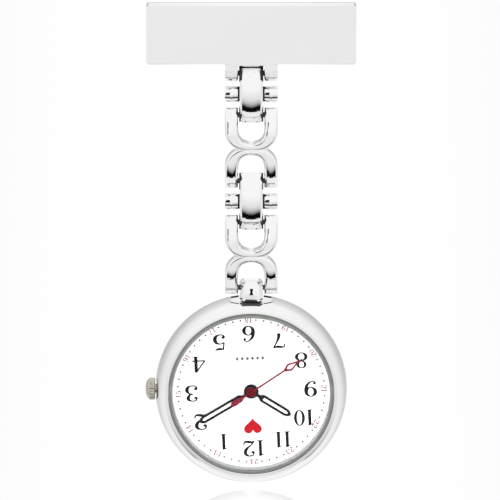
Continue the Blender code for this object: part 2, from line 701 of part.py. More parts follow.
def second_hand():
    """A thin needle with a hollow kite near its tip and a teardrop counterweight."""
    right = [(0.13, -0.6), (0.13, 6.2), (0.62, 7.3), (0.13, 9.0), (0.05, 9.8)]
    tail = [(0.14, -1.3), (0.46, -3.0), (0.30, -3.7), (0.0, -3.9)]
    side = list(reversed(tail[:-1])) + right
    outline = [tail[-1]] + side + [(-x, y) for x, y in reversed(side)]
    kite = [(0, 6.75), (0.33, 7.35), (0, 8.35), (-0.33, 7.35)]
    needle = layer([outline, kite], 2.66, 2.76)
    fuse(needle, post(0.76, 2.62, 2.84, sides=SMALL_ROUND))
    carve(needle, post(0.19, 2.0, 2.79))
    needle.rotation_euler.z = dial_turn(SHOWN_SECOND / 60)
    return piece(needle, "second_hand", "hand_red")


# Movement


def toothed(gear, back, front, phase, centre):
    return layer([gear_outline(gear, phase)], back, front, centre)


def main_plate():
    outline = rounded_rectangle(MOVEMENT_HALF_X, MOVEMENT_HALF_Y, MOVEMENT_CORNER)
    holes = [
        circle(BATTERY_RADIUS + 0.1, BATTERY_AT, 40),
        circle(0.40, CENTRE_AT, TINY_ROUND),
        rectangle(CAN_AT[0] - 2.75, CAN_AT[0] + 2.75, CAN_AT[1] - 0.85, CAN_AT[1] + 0.85),
        rectangle(COIL_AT[0] - 3.5, COIL_AT[0] + 3.5, COIL_AT[1] - 0.85, COIL_AT[1] + 0.85),
        rectangle(-4.85, -3.6, -0.75, 0.75),
        rectangle(-7.15, -5.75, -0.35, 0.35),
    ]
    holes += [circle(0.17, place, TINY_ROUND) for place in (THIRD_AT, FIFTH_AT, ROTOR_AT)]
    holes += [circle(0.28, place, TINY_ROUND) for place in BRIDGE_LEGS[:2]]
    plate = layer([outline] + holes, PLATE_BACK, PLATE_FRONT)
    channel = rod(0.52, 5.0, in_case(-5.6, 0, STEM_Z), "-X", 16)
    pocket = post(1.02, 0.78, 2.0, SETTING_AT, SMALL_ROUND)
    carve(plate, channel, pocket)
    for centre, front in ((MINUTE_AT, 1.35), (SETTING_AT, 1.25)):
        fuse(plate, post(0.2, 0.5, front, centre))
    for centre in (LEVER_PIVOT, YOKE_PIVOT):
        fuse(plate, post(0.2, 0.5, 1.25, centre))
    fuse(plate, post(0.55, -1.62, 0.5, CLAMP_POST, 16))
    carve(plate, post(0.25, -3, 0.7, CLAMP_POST))
    return piece(plate, "main_plate", "brass")


def train_bridge():
    outline = [
        (-5.3, -4.6), (5.2, -4.6), (6.2, 0.0), (5.4, 1.1), (0.8, 1.5), (-2.9, 3.4), (-4.1, 2.9),
        (-4.6, 0.0),
    ]
    holes = [circle(0.2, place, TINY_ROUND) for place in (CENTRE_AT, THIRD_AT, FIFTH_AT, ROTOR_AT)]
    bridge = layer([outline] + holes, BRIDGE_BACK, BRIDGE_FRONT)
    for leg in BRIDGE_LEGS:
        fuse(bridge, post(0.5, BRIDGE_FRONT - 0.2, PLATE_BACK - 0.03, leg, 16))
    for leg in BRIDGE_LEGS[:2]:
        carve(bridge, post(0.28, -3, 2, leg))
    return piece(bridge, "train_bridge", "nickel")


def movement_screw(name, centre, under_head, end):
    head_height = 0.24
    head = post(0.5, under_head - head_height, under_head, centre, 16)
    fuse(head, post(0.2, under_head - 0.1, end, centre))
    x, y = centre
    slot_floor = under_head - head_height + 0.1
    carve(head, case_block((x - 0.7, y - 0.07, slot_floor - 1), (x + 0.7, y + 0.07, slot_floor)))
    return piece(head, name, "brushed_steel")


def going_train():
    """Stepping rotor to seconds 30:1, then seconds to minutes 60:1."""
    wheel = toothed(CENTRE_WHEEL, 0.02, 0.16, 0, CENTRE_AT)
    fuse(wheel, post(0.32, -0.04, 2.2, sides=16))
    carve(wheel, post(0.21, -1, 3))
    piece(wheel, "centre_wheel", "brass")

    phase = meshing_phase(CENTRE_WHEEL, CENTRE_AT, 0, THIRD_PINION, THIRD_AT)
    wheel = toothed(THIRD_WHEEL, -0.26, -0.12, 0, THIRD_AT)
    fuse(wheel, toothed(THIRD_PINION, -0.15, 0.20, phase, THIRD_AT))
    fuse(wheel, post(0.12, -1.3, 0.75, THIRD_AT))
    piece(wheel, "third_wheel", "brass")

    phase = meshing_phase(THIRD_WHEEL, THIRD_AT, 0, FOURTH_PINION, CENTRE_AT)
    wheel = toothed(FOURTH_WHEEL, -0.78, -0.64, 0, CENTRE_AT)
    fuse(wheel, post(0.16, -1.3, 2.76))
    fuse(wheel, toothed(FOURTH_PINION, -0.30, -0.08, phase, CENTRE_AT))
    piece(wheel, "fourth_wheel", "brass")

    phase = meshing_phase(FOURTH_WHEEL, CENTRE_AT, 0, FIFTH_PINION, FIFTH_AT)
    wheel = toothed(FIFTH_WHEEL, -0.52, -0.38, 0, FIFTH_AT)
    fuse(wheel, toothed(FIFTH_PINION, -0.82, -0.50, phase, FIFTH_AT))
    fuse(wheel, post(0.12, -1.3, 0.75, FIFTH_AT))
    piece(wheel, "fifth_wheel", "plastic")

    phase = meshing_phase(FIFTH_WHEEL, FIFTH_AT, 0, ROTOR_PINION, ROTOR_AT)
    magnet = post(0.6, -0.95, -0.62, ROTOR_AT, SMALL_ROUND)
    fuse(magnet, toothed(ROTOR_PINION, -0.64, -0.34, phase, ROTOR_AT))
    fuse(magnet, post(0.12, -1.3, 0.75, ROTOR_AT))
    piece(magnet, "rotor", "magnet")


def motion_works():
    """Minutes to hours 12:1 under the dial, with the setting wheel in mesh."""
    cannon = toothed(CANNON_TEETH, 0.98, 1.18, 0, CENTRE_AT)
    fuse(cannon, post(0.47, 1.0, 2.48, sides=16))
    carve(cannon, post(0.36, 0, 4, sides=16))
    piece(cannon, "cannon_pinion", "nickel")

    phase = meshing_phase(CANNON_TEETH, CENTRE_AT, 0, MINUTE_WHEEL, MINUTE_AT)
    minute = toothed(MINUTE_WHEEL, 1.00, 1.14, phase, MINUTE_AT)
    fuse(minute, toothed(MINUTE_PINION, 1.10, 1.42, 0, MINUTE_AT))
    carve(minute, post(0.24, 0, 3, MINUTE_AT))
    piece(minute, "minute_wheel", "brass")

    hour_phase = meshing_phase(MINUTE_PINION, MINUTE_AT, 0, HOUR_WHEEL, CENTRE_AT)
    hour = toothed(HOUR_WHEEL, 1.22, 1.36, hour_phase, CENTRE_AT)
    fuse(hour, post(0.85, 1.25, 2.18, sides=SMALL_ROUND))
    carve(hour, post(0.55, 0, 4, sides=16))
    piece(hour, "hour_wheel", "brass")

    phase = meshing_phase(MINUTE_WHEEL, MINUTE_AT, phase, SETTING_WHEEL, SETTING_AT)
    setting = toothed(SETTING_WHEEL, 0.82, 1.14, phase, SETTING_AT)
    carve(setting, post(0.24, 0, 3, SETTING_AT))
    piece(setting, "setting_wheel", "brass")


def clutch_wheel():
    core = rod(0.42, 1.1, in_case(-4.15, 0, STEM_Z), "-X", 16)
    fuse(core, rod(0.6, 0.34, in_case(-4.53, 0, STEM_Z), "-X", 16))
    teeth = slab([gear_outline((12, 0.085))], 0.44, in_case(-3.82, 0, STEM_Z), "-X")
    fuse(core, teeth)
    carve(core, slab([square(0.26)], 3, in_case(-4.15, 0, STEM_Z), "-X"))
    return piece(core, "clutch_wheel", "brushed_steel")


def setting_lever():
    lever = layer([strap(LEVER_PIVOT, LEVER_PIN, 0.5, 0.3)], 1.00, 1.12)
    fuse(lever, post(0.15, 0.65, 1.06, LEVER_PIN))
    carve(lever, post(0.24, 0, 2, LEVER_PIVOT))
    return piece(lever, "setting_lever", "brushed_steel")


def yoke():
    arm = layer([strap(YOKE_PIVOT, YOKE_TIP, 0.5, 0.22)], 1.00, 1.12)
    x, y = YOKE_TIP
    fuse(arm, case_block((x - 0.1, y - 0.15, 0.82), (x + 0.1, y + 0.15, 1.06)))
    carve(arm, post(0.24, 0, 2, YOKE_PIVOT))
    return piece(arm, "yoke", "brushed_steel")


def stepping_motor():
    x, y = COIL_AT
    winding = [circle(0.75, sides=20), square(0.3)]
    coil = slab(winding, COIL_LENGTH, in_case(x, y, -0.3), "-X")
    piece(coil, "coil", "copper")

    bar, tab, tab_end = 0.26, 0.65, COIL_LENGTH / 2 + 1.4
    inner = COIL_LENGTH / 2 + 0.1
    right = [(inner, -bar), (inner, -tab), (tab_end, -tab), (tab_end, tab), (inner, tab)]
    right.append((inner, bar))
    core = layer([right + [(-px, -py) for px, py in right]], -0.53, -0.07, COIL_AT)
    piece(core, "coil_core", "brushed_steel")

    left_end, right_end = x - tab_end, x + tab_end
    outline = [(left_end, y - tab), (x - inner, y - tab), (x - inner, y + 0.85)]
    outline += [(x + inner, y + 0.85), (x + inner, y - tab), (right_end, y - tab)]
    outline += arc(ROTOR_AT, 1.4, 0, 180, 10) + [(left_end, -5.6)]
    stator = layer([outline, circle(0.8, ROTOR_AT)], -0.95, -0.60)
    piece(stator, "stator", "nickel")


def electronics():
    outline = [(-7.2, 4.3), (0.2, 4.3), (0.2, 8.6), (-4.2, 8.6), (-7.2, 5.6)]
    piece(layer([outline], -1.32, -1.12), "circuit_board", "board")
    piece(case_block((-3.2, 4.7, -1.75), (-1.2, 6.7, -1.35)), "circuit_chip", "rubber")
    can = rod(0.7, 5.1, in_case(CAN_AT[0], CAN_AT[1], -0.3), "-X", SMALL_ROUND)
    piece(can, "quartz_can", "nickel")


def power():
    x, y = BATTERY_AT
    edge = BATTERY_RADIUS
    profile = [(0, 0.95), (edge - 0.1, 0.95), (edge, 0.8), (edge, -1.2), (edge - 0.25, -1.3)]
    profile += [(edge - 0.25, -1.62), (0, -1.62)]
    piece(turned(profile, in_case(x, y, 0), steps=40), "battery", "brushed_steel")
    outline = strap(CLAMP_POST, CLAMP_END, 0.8, 0.8)
    clamp = layer([outline, circle(0.25, CLAMP_POST, TINY_ROUND)], -1.87, -1.67)
    piece(clamp, "battery_clamp", "brushed_steel")


def build_brooch():
    brooch_plate()
    pin_base_strip()
    pin_hinge_bracket()
    pin_hinge_rivet()
    pin_stem()
    catch_body()
    catch_roller()


def build_chain():
    cross_link("cross_link_upper", PIN_HEIGHTS[0])
    double_link("double_link_upper", PIN_HEIGHTS[1])
    cross_link("cross_link_lower", PIN_HEIGHTS[2])
    double_link("double_link_lower", PIN_HEIGHTS[3], LONG_FACET)
    for number, height in enumerate(PIN_HEIGHTS, start=1):
        hinge_pin(number, height)


def build_case():
    bail()
    case_body()
    case_back()
    crystal()
    gaskets()
    stem_tube()
    crown()
    setting_stem()
    movement_ring()
    dial()
    baton_hand("hour_hand", 7.3, 2.05, 1.15, 0.89, SHOWN_HOUR / 12)
    baton_hand("minute_hand", 9.5, 2.34, 1.0, 0.51, SHOWN_MINUTE / 60)
    second_hand()


def build_movement():
    main_plate()
    train_bridge()
    for number, leg in enumerate(BRIDGE_LEGS[:2], start=1):
        movement_screw(f"bridge_screw_{number}", leg, BRIDGE_BACK - 0.02, 0.85)
    movement_screw("clamp_screw", CLAMP_POST, -1.89, 0.6)
    going_train()
    motion_works()
    clutch_wheel()
    setting_lever()
    yoke()
    stepping_motor()
    electronics()
    power()


clear_scene()
PARTS = new_collection("fob_watch")
CUTTERS = new_collection("cutters", hidden=True)
DRAWING = drawing_frame()
bpy.context.scene.collection.objects.link(DRAWING)
build_brooch()
build_chain()
build_case()
build_movement()
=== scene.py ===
"""The looks of the fob watch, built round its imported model.

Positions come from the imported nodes.
"""

import json
from contextlib import contextmanager
from math import copysign, cos, hypot, pi, radians, sin, sqrt, tan

import bmesh
import bpy
from mathutils import Matrix, Vector

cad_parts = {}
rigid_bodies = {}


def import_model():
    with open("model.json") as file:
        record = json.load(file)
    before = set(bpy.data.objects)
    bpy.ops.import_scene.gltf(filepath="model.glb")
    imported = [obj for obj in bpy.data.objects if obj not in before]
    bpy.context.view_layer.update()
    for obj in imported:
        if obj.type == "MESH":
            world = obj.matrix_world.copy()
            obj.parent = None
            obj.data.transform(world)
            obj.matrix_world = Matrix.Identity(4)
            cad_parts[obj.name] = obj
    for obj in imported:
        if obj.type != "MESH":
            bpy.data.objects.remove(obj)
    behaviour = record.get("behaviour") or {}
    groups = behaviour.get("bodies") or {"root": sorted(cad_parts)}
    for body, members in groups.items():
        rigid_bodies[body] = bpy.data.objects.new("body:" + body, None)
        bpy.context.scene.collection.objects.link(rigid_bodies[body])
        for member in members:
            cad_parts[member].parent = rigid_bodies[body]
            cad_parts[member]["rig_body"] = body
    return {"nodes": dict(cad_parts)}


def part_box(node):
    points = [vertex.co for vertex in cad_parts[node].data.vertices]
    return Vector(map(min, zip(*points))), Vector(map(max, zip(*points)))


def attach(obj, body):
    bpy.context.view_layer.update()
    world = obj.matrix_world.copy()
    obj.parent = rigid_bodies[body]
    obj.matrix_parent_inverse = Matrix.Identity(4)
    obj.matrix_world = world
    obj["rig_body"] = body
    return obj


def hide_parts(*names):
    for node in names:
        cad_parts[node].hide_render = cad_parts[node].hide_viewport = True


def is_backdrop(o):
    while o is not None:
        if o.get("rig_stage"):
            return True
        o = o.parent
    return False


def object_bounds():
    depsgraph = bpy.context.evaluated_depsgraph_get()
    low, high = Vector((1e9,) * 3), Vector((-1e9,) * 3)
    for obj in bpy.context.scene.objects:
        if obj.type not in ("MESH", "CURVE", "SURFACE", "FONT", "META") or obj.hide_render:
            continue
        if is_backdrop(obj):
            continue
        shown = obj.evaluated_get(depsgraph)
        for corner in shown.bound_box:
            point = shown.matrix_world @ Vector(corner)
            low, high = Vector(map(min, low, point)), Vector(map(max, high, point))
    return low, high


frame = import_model()
CAD_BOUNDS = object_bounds()

MM = 0.001
NODES = frame["nodes"]


def node_centre(node):
    low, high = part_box(node)
    return (low + high) / 2


PIN_PLANE = node_centre("hinge_pin_1").y
DRAWING = (
    Matrix.Translation((0, PIN_PLANE, 0))
    @ Matrix.Rotation(pi / 2, 4, "X")
    @ Matrix.Scale(MM, 4)
)
PINS = [node_centre(f"hinge_pin_{number}").z / MM for number in range(1, 6)]
CENTRE = node_centre("dial").z / MM

# Sizes in millimetres, shared by several pieces

CROSS_PITCH = PINS[0] - PINS[1]
DOUBLE_PITCH = PINS[1] - PINS[2]
PIN_RADIUS, PIN_HOLE, PIN_LENGTH = 0.40, 0.45, 7.9

# Brooch: the bar, the bridge over its lugs, and the pin behind it
BAR_LOW, BAR_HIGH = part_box("brooch_plate")
BAR_WIDTH, BAR_DEPTH = ((BAR_HIGH - BAR_LOW) / MM).x, 3.0
# BAR_RIM is how deep the rear strip of the bar's top reaches; that strip carries a painted
# reflection
BAR_HEIGHT, BAR_FACE, BAR_WALL, BAR_CORNER, BAR_RIM = 9.2, 0.8, 0.7, 0.45, 0.45
LUG_END = 1.12
# Behind BRIDGE_STEP the bridge's underside carries painted shade, in front of it painted light
BRIDGE_BOTTOM, BRIDGE_TOP, BRIDGE_REAR, BRIDGE_STEP = -4.85, -4.3, 0.3, 0.7
STEM_AXIS, STEM_RADIUS, EYE_RADIUS = -2.6, 0.40, 0.85
HINGE_X, CATCH_X, RIVET_HOLE = 11.5, -9.8, 0.36
STRIP_FRONT, STRIP_REAR, FOOT_GAP = 0.67, 0.17, 0.03

# Links: half widths, how far they pass their pins, and their front and back
LINK_OUTER, LINK_INNER, CENTRE_HALF = 4.1, 2.0, 1.8
ARM_END, CENTRE_END = 1.1, 1.3
LINK_PEAK, LINK_BACK, LINK_CHAMFER, LINK_FILLET = 1.65, 1.05, 0.32, 0.45
DOME_TILT, SPLAY = radians(23), 0.24
FACET = (0.55, radians(32))
LONG_FACET = (1.6, radians(28))
KNUCKLE_HALF, KNUCKLE_INSET = 1.87, 0.25
WING_HALF, WING_FRONT, WING_CROWN = 1.31, 1.25, 0.075
U_INNER, U_OUTER, U_CENTRE = 0.95, -0.32, 3.1

# Case, measured from its centre: the notch for the bail, the crown's seat and the dial
CASE_RADIUS, GROOVE_RADIUS, GROOVE_HALF = 15.0, 14.78, 4.05
GROOVE_REAR, GROOVE_FRONT = -0.62, -0.34
NOTCH_HALF, NOTCH_FLOOR, NOTCH_BACK, SLOT_HALF, SHADE_HALF = 3.15, 14.15, -0.35, 1.95, 1.5
STEM_Z, CROWN_FACE, CROWN_SEAT, CROWN_RADIUS = 0.35, 15.08, 14.72, 1.75
GLASS_RADIUS, GLASS_FRONT, GLASS_REAR = 12.65, 4.1, 2.9
DIAL_REAR, DIAL_FRONT, DIAL_RADIUS = 1.48, 1.88, 12.65

# Dial print, in heights, radii and thicknesses, and the time shown
HOUR_HEIGHT, HOUR_RING, HOUR_INK = 2.6, 9.3, 0.024
DAY_HOUR_HEIGHT, DAY_HOUR_RING, FINE_INK = 0.85, 11.42, 0.014
DOT_RADIUS, DOT_RING = 0.15, 11.5
INK_LEVEL = DIAL_FRONT - 0.004
DIAL_TURN = radians(2.4)
SHOWN_HOUR, SHOWN_MINUTE, SHOWN_SECOND = 10.14, 10.2, 39.7
THIN_STROKE = 0.075

# Looks and tools. The glare is head on, and a hair is the widest gap to weld
GLASS_GLARE, DIFFUSE_LIGHT = 0.008, 2.1
CAMERA_RISE = radians(13.5)
HAIR = 0.012
ROUND, SMALL_ROUND = 192, 48


# Outlines


def arc(centre, radius, first, last, steps=12):
    angles = [radians(first + (last - first) * i / steps) for i in range(steps + 1)]
    return [(centre[0] + radius * cos(a), centre[1] + radius * sin(a)) for a in angles]


def ellipse(centre, half_x, half_y, sides=SMALL_ROUND):
    angles = [2 * pi * i / sides for i in range(sides)]
    return [(centre[0] + half_x * cos(a), centre[1] + half_y * sin(a)) for a in angles]


def circle(radius, centre=(0, 0), sides=SMALL_ROUND):
    return ellipse(centre, radius, radius, sides)


def rectangle(left, right, bottom, top):
    return [(left, bottom), (right, bottom), (right, top), (left, top)]


def filleted(points, radius, steps=5):
    """A loop with every corner rounded, by less where its sides are short."""
    rounded = []
    for i, corner in enumerate(points):
        before, here = Vector(points[i - 1]), Vector(corner)
        after = Vector(points[(i + 1) % len(points)])
        back, ahead = before - here, after - here
        reach = min(radius, 0.45 * back.length, 0.45 * ahead.length)
        if back.angle(ahead) > radians(172):
            rounded.append(tuple(here))
            continue
        start, end = here + back.normalized() * reach, here + ahead.normalized() * reach
        for k in range(steps + 1):
            t = k / steps
            rounded.append(tuple(start * (1 - t) ** 2 + here * 2 * t * (1 - t) + end * t * t))
    return rounded


def smooth(points, steps=6):
    """A curve through the points; each point may carry more than two numbers."""
    curve = []
    padded = [points[0], *points, points[-1]]
    for a, b, c, d in zip(padded, padded[1:], padded[2:], padded[3:]):
        for k in range(steps):
            t = k / steps
            curve.append(
                tuple(
                    0.5 * (2 * q + (r - p) * t + (2 * p - 5 * q + 4 * r - s) * t**2
                           + (3 * q - p - 3 * r + s) * t**3)
                    for p, q, r, s in zip(a, b, c, d)
                )
            )
    curve.append(tuple(points[-1]))
    return curve


def mirrored(right):
    """A closed outline from its right half, listed from one end of its axis to the other."""
    return right + [(-x, y) for x, y in reversed(right) if abs(x) > 1e-6]


# Solids, in millimetres


def add_object(name, data):
    obj = bpy.data.objects.new(name, data)
    bpy.context.scene.collection.objects.link(obj)
    return obj


def discard(obj):
    bpy.data.objects.remove(obj, do_unlink=True)


@contextmanager
def editing(mesh):
    work = bmesh.new()
    work.from_mesh(mesh)
    yield work
    work.to_mesh(mesh)
    work.free()


def mesh_of(points, faces):
    mesh = bpy.data.meshes.new("drawn")
    mesh.from_pydata(points, [], faces)
    return mesh


def new_object(mesh):
    with editing(mesh) as work:
        bmesh.ops.remove_doubles(work, verts=work.verts, dist=0.0001)
        bmesh.ops.recalc_face_normals(work, faces=work.faces)
    return add_object("drawn", mesh)


TURNS = {
    "z": Matrix.Identity(4),
    "-x": Matrix.Rotation(-pi / 2, 4, "Y"),
    "y": Matrix.Rotation(-pi / 2, 4, "X"),
}


def placed(obj, at=(0, 0, 0), along="z", spin=0.0):
    obj.data.transform(Matrix.Translation(at) @ TURNS[along] @ Matrix.Rotation(spin, 4, "Z"))
    return obj


def prism(loops, low, high, edge=0.0, rings=2):
    """A flat outline, with any holes after it, from one height to another, its edges rounded."""
    curve = bpy.data.curves.new("outline", "CURVE")
    curve.dimensions, curve.fill_mode = "2D", "BOTH"
    curve.extrude = (high - low) / 2 - edge
    curve.bevel_depth, curve.bevel_resolution, curve.offset = edge, rings, -edge
    for loop in loops:
        spline = curve.splines.new("POLY")
        spline.points.add(len(loop) - 1)
        spline.use_cyclic_u = True
        for point, (x, y) in zip(spline.points, loop):
            point.co = (x, y, 0, 1)
    drawn = add_object("outline", curve)
    graph = bpy.context.evaluated_depsgraph_get()
    mesh = bpy.data.meshes.new_from_object(drawn.evaluated_get(graph))
    discard(drawn)
    mesh.transform(Matrix.Translation((0, 0, (low + high) / 2)))
    return new_object(mesh)


def lathe(profile, steps=ROUND, wave=None):
    """A turned solid from (radius, height) points; wave(angle, row) scales a row's radius."""
    closed = profile[0][0] > 0
    rows, points, faces = len(profile), [], []
    for i in range(steps):
        a = 2 * pi * i / steps
        for row, (radius, height) in enumerate(profile):
            r = radius * (wave(a, row) if wave else 1)
            points.append((r * cos(a), r * sin(a), height))
    for i in range(steps):
        j = (i + 1) % steps
        for row in range(rows if closed else rows - 1):
            after = (row + 1) % rows
            faces.append((i * rows + row, i * rows + after, j * rows + after, j * rows + row))
    return new_object(mesh_of(points, faces))


def rod(radius, length, sides=SMALL_ROUND, edge=0.0):
    return prism([circle(radius, sides=sides)], -length / 2, length / 2, edge)


def block(low, high, edge=0.0):
    outline = rectangle(low[0], high[0], low[1], high[1])
    return prism([filleted(outline, edge, 3) if edge else outline], low[2], high[2], edge)


def settle(obj):
    """Apply an object's modifiers."""
    graph = bpy.context.evaluated_depsgraph_get()
    mesh = bpy.data.meshes.new_from_object(obj.evaluated_get(graph))
    obj.modifiers.clear()
    obj.data = mesh
    return obj


def combine(obj, others, operation):
    for other in others:
        step = obj.modifiers.new("step", "BOOLEAN")
        step.operation, step.object, step.solver = operation, other, "EXACT"
    settle(obj)
    for other in others:
        discard(other)
    return obj


def fuse(obj, *others):
    return combine(obj, others, "UNION")


def carve(obj, *others):
    return combine(obj, others, "DIFFERENCE")


def drill(obj, height, length):
    """A hole for a hinge pin, right across a piece."""
    return carve(obj, placed(rod(PIN_HOLE, length), (0, height, 0), "-x"))


def join(objects):
    """Several objects as one, without changing their meshes."""
    whole = bmesh.new()
    for obj in objects:
        whole.from_mesh(obj.data)
        discard(obj)
    mesh = bpy.data.meshes.new("joined")
    whole.to_mesh(mesh)
    whole.free()
    return add_object("drawn", mesh)


def sliced(obj, axis, places):
    """Cut the faces, without opening them, where planes across an axis meet them."""
    across = Vector(1.0 if i == "xyz".index(axis) else 0.0 for i in range(3))
    with editing(obj.data) as work:
        for place in places:
            everything = work.verts[:] + work.edges[:] + work.faces[:]
            bmesh.ops.bisect_plane(work, geom=everything, dist=0.0001,
                                   plane_co=across * place, plane_no=across)
    return obj


def reshape(obj, move):
    """Move each point by a rule, then split the bent faces into flat ones."""
    with editing(obj.data) as work:
        bmesh.ops.remove_doubles(work, verts=work.verts, dist=0.002)
        for vert in work.verts:
            vert.co = move(vert.co.copy())
        bmesh.ops.triangulate(work, faces=work.faces[:])
    return obj


def seal(obj):
    """Weld, or else fill, the hair-thin openings that a boolean step can leave."""
    with editing(obj.data) as work:
        rim = [vert for vert in work.verts if vert.is_boundary]
        bmesh.ops.remove_doubles(work, verts=rim, dist=HAIR)
        bmesh.ops.holes_fill(work, edges=[e for e in work.edges if e.is_boundary], sides=4)


def paint(obj, index, test):
    """Give the second or a later material to the faces that a test picks."""
    for face in obj.data.polygons:
        if test(face.center, face.normal):
            face.material_index = index
    return obj


def finish(obj, name, body, materials, node=None, soften=0.0, crease=30):
    """Round the edges, bake the piece into the row frame and hang it on its body."""
    if soften:
        bevel = obj.modifiers.new("soften", "BEVEL")
        bevel.width, bevel.segments, bevel.limit_method = soften, 2, "ANGLE"
        bevel.angle_limit, bevel.use_clamp_overlap = radians(crease), True
        bevel.miter_outer = "MITER_ARC"
        settle(obj)
    seal(obj)
    obj.data.transform(DRAWING)
    painted = [face.material_index for face in obj.data.polygons]
    obj.data.materials.clear()
    for material in materials:
        obj.data.materials.append(material)
    obj.data.polygons.foreach_set("material_index", painted)
    obj.data.shade_smooth()
    obj.data.set_sharp_from_angle(angle=radians(crease))
    weighted = obj.modifiers.new("normals", "WEIGHTED_NORMAL")
    weighted.keep_sharp = True
    settle(obj)
    obj.name = obj.data.name = name
    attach(obj, body)
    if node:
        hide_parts(node)
    return obj


# Materials


class Nodes:
    """Short ways to add nodes to a tree and join them."""

    def __init__(self, tree):
        self.tree = tree

    def add(self, kind, inputs=None, **settings):
        node = self.tree.nodes.new(kind)
        for key, value in settings.items():
            setattr(node, key, value)
        for key, value in (inputs or {}).items():
            if isinstance(value, bpy.types.NodeSocket):
                self.tree.links.new(value, node.inputs[key])
            else:
                node.inputs[key].default_value = value
        return node

    def math(self, operation, *values):
        return self.add("ShaderNodeMath", dict(enumerate(values)), operation=operation).outputs[0]

    def ramp(self, value, stops):
        """A grey ramp through (position, grey) stops."""
        node = self.add("ShaderNodeValToRGB", {"Fac": value})
        node.color_ramp.elements.remove(node.color_ramp.elements[1])
        for number, (position, grey) in enumerate(stops):
            elements = node.color_ramp.elements
            stop = elements[0] if number == 0 else elements.new(position)
            stop.position = position
            stop.color = (grey, grey, grey, 1)
        return node.outputs[0]

    def spread(self, value, low, high, to_low=0, to_high=1):
        inputs = {"Value": value, 1: low, 2: high, 3: to_low, 4: to_high}
        return self.add("ShaderNodeMapRange", inputs).outputs[0]

    def noise(self, scale, detail, stretch=(1, 1, 1), rough=0.5):
        place = self.add("ShaderNodeTexCoord").outputs["Object"]
        mapped = self.add("ShaderNodeMapping", {"Vector": place, "Scale": stretch}).outputs[0]
        inputs = {"Vector": mapped, "Scale": scale, "Detail": detail, "Roughness": rough}
        return self.add("ShaderNodeTexNoise", inputs).outputs["Fac"]

    def mix(self, share, first, second):
        ends = [(*end, 1) if isinstance(end, tuple) else end for end in (first, second)]
        inputs = {0: share, 6: ends[0], 7: ends[1]}
        return self.add("ShaderNodeMix", inputs, data_type="RGBA").outputs[2]


def new_material(name, metallic=0.0, **plain):
    material = bpy.data.materials.new(name)
    material.use_nodes = True
    nodes = Nodes(material.node_tree)
    shader = material.node_tree.nodes["Principled BSDF"]
    shader.inputs["Metallic"].default_value = metallic
    for key, value in plain.items():
        shader.inputs[key.replace("_", " ")].default_value = value
    return material, nodes, shader


def surface(name, colour, other, roughness, grain, bump=0.0, metallic=0.0, stretch=(1, 1, 1),
            **plain):
    """A finish whose colour, roughness and relief all vary with a fine grain."""
    material, nodes, shader = new_material(name, metallic, **plain)
    fine = nodes.noise(grain, 5, stretch, 0.6)
    broad = nodes.noise(grain / 14, 2)
    link = nodes.tree.links.new
    blotch = nodes.math("MULTIPLY_ADD", fine, 0.6, nodes.math("MULTIPLY", broad, 0.4))
    share = nodes.spread(blotch, 0.35, 0.65)
    link(nodes.mix(share, colour, other), shader.inputs["Base Color"])
    link(nodes.spread(fine, 0.3, 0.7, *roughness), shader.inputs["Roughness"])
    if bump:
        relief = nodes.add("ShaderNodeBump", {"Height": fine, "Strength": bump, "Distance": 2e-5})
        link(relief.outputs[0], shader.inputs["Normal"])
    return material


# Each finish: two colours to drift between, roughness from and to, grain, relief and metal

CHROME = surface("polished_chrome", (0.93, 0.93, 0.93), (0.9, 0.9, 0.905), (0.02, 0.07),
    1400, 0.012, 1, (1, 1, 6))
# Painted shade: a near black put on faces in gaps, hollows and under parts, where shade and dark
# reflections fall
PAINTED_SHADE = surface("painted_recess_shade", (0.012, 0.011, 0.01), (0.035, 0.032, 0.028), (0.45, 0.7),
    2500, 0, 0.4)
# Painted shadow and reflection of the crown: a dark brown on the case round the crown's seat
PAINTED_CROWN_SHADE = surface("painted_crown_shade_and_reflection", (0.045, 0.028, 0.02), (0.1, 0.07, 0.05), (0.4, 0.6),
    2500, 0, 0.5)
# Painted reflection: a grey on the rear strip of the bar's top face, for the dark line that its
# back edge mirrors
PAINTED_RIM_REFLECTION = surface("painted_rim_reflection", (0.36, 0.36, 0.355), (0.28, 0.28, 0.275), (0.45, 0.6),
    1800, 0, 0.3)
# Painted light: a near white on the front of the bridge's underside, so the bar's tip mirrors it
# bright
PAINTED_BRIGHT_REFLECTION = surface("painted_bright_reflection", (0.88, 0.88, 0.875), (0.82, 0.82, 0.81), (0.4, 0.55),
    1800, 0, 0.1)
PIN_STEEL = surface("drawn_steel", (0.8, 0.8, 0.8), (0.7, 0.7, 0.7), (0.12, 0.24),
    1500, 0.05, 1, (0.1, 1, 1))
BACK_STEEL = surface("brushed_back", (0.74, 0.74, 0.745), (0.64, 0.64, 0.65), (0.2, 0.36),
    500, 0.18, 1, (1, 1, 24))
NICKEL = surface("nickel", (0.6, 0.57, 0.51), (0.48, 0.45, 0.4), (0.14, 0.3), 1800, 0.05, 1)
BRASS = surface("grained_brass", (0.83, 0.63, 0.3), (0.72, 0.52, 0.23), (0.22, 0.4),
    900, 0.12, 1, (1, 1, 12))
DIAL = surface("dial_lacquer", (0.9, 0.9, 0.91), (0.875, 0.88, 0.895), (0.26, 0.36), 700, 0.02,
    Coat_Weight=0.35, Coat_Roughness=0.08)
INK = {"Specular_IOR_Level": 0.08}
PRINT = surface("dial_ink", (0.002, 0.002, 0.003), (0.005, 0.005, 0.007), (0.35, 0.55), 3000,
    **INK)
GREY_PRINT = surface("grey_ink", (0.07, 0.07, 0.075), (0.11, 0.11, 0.115), (0.4, 0.6), 3000,
    **INK)
ROSE_PRINT = surface("rose_ink", (0.17, 0.03, 0.055), (0.25, 0.055, 0.09), (0.4, 0.6), 3000,
    **INK)
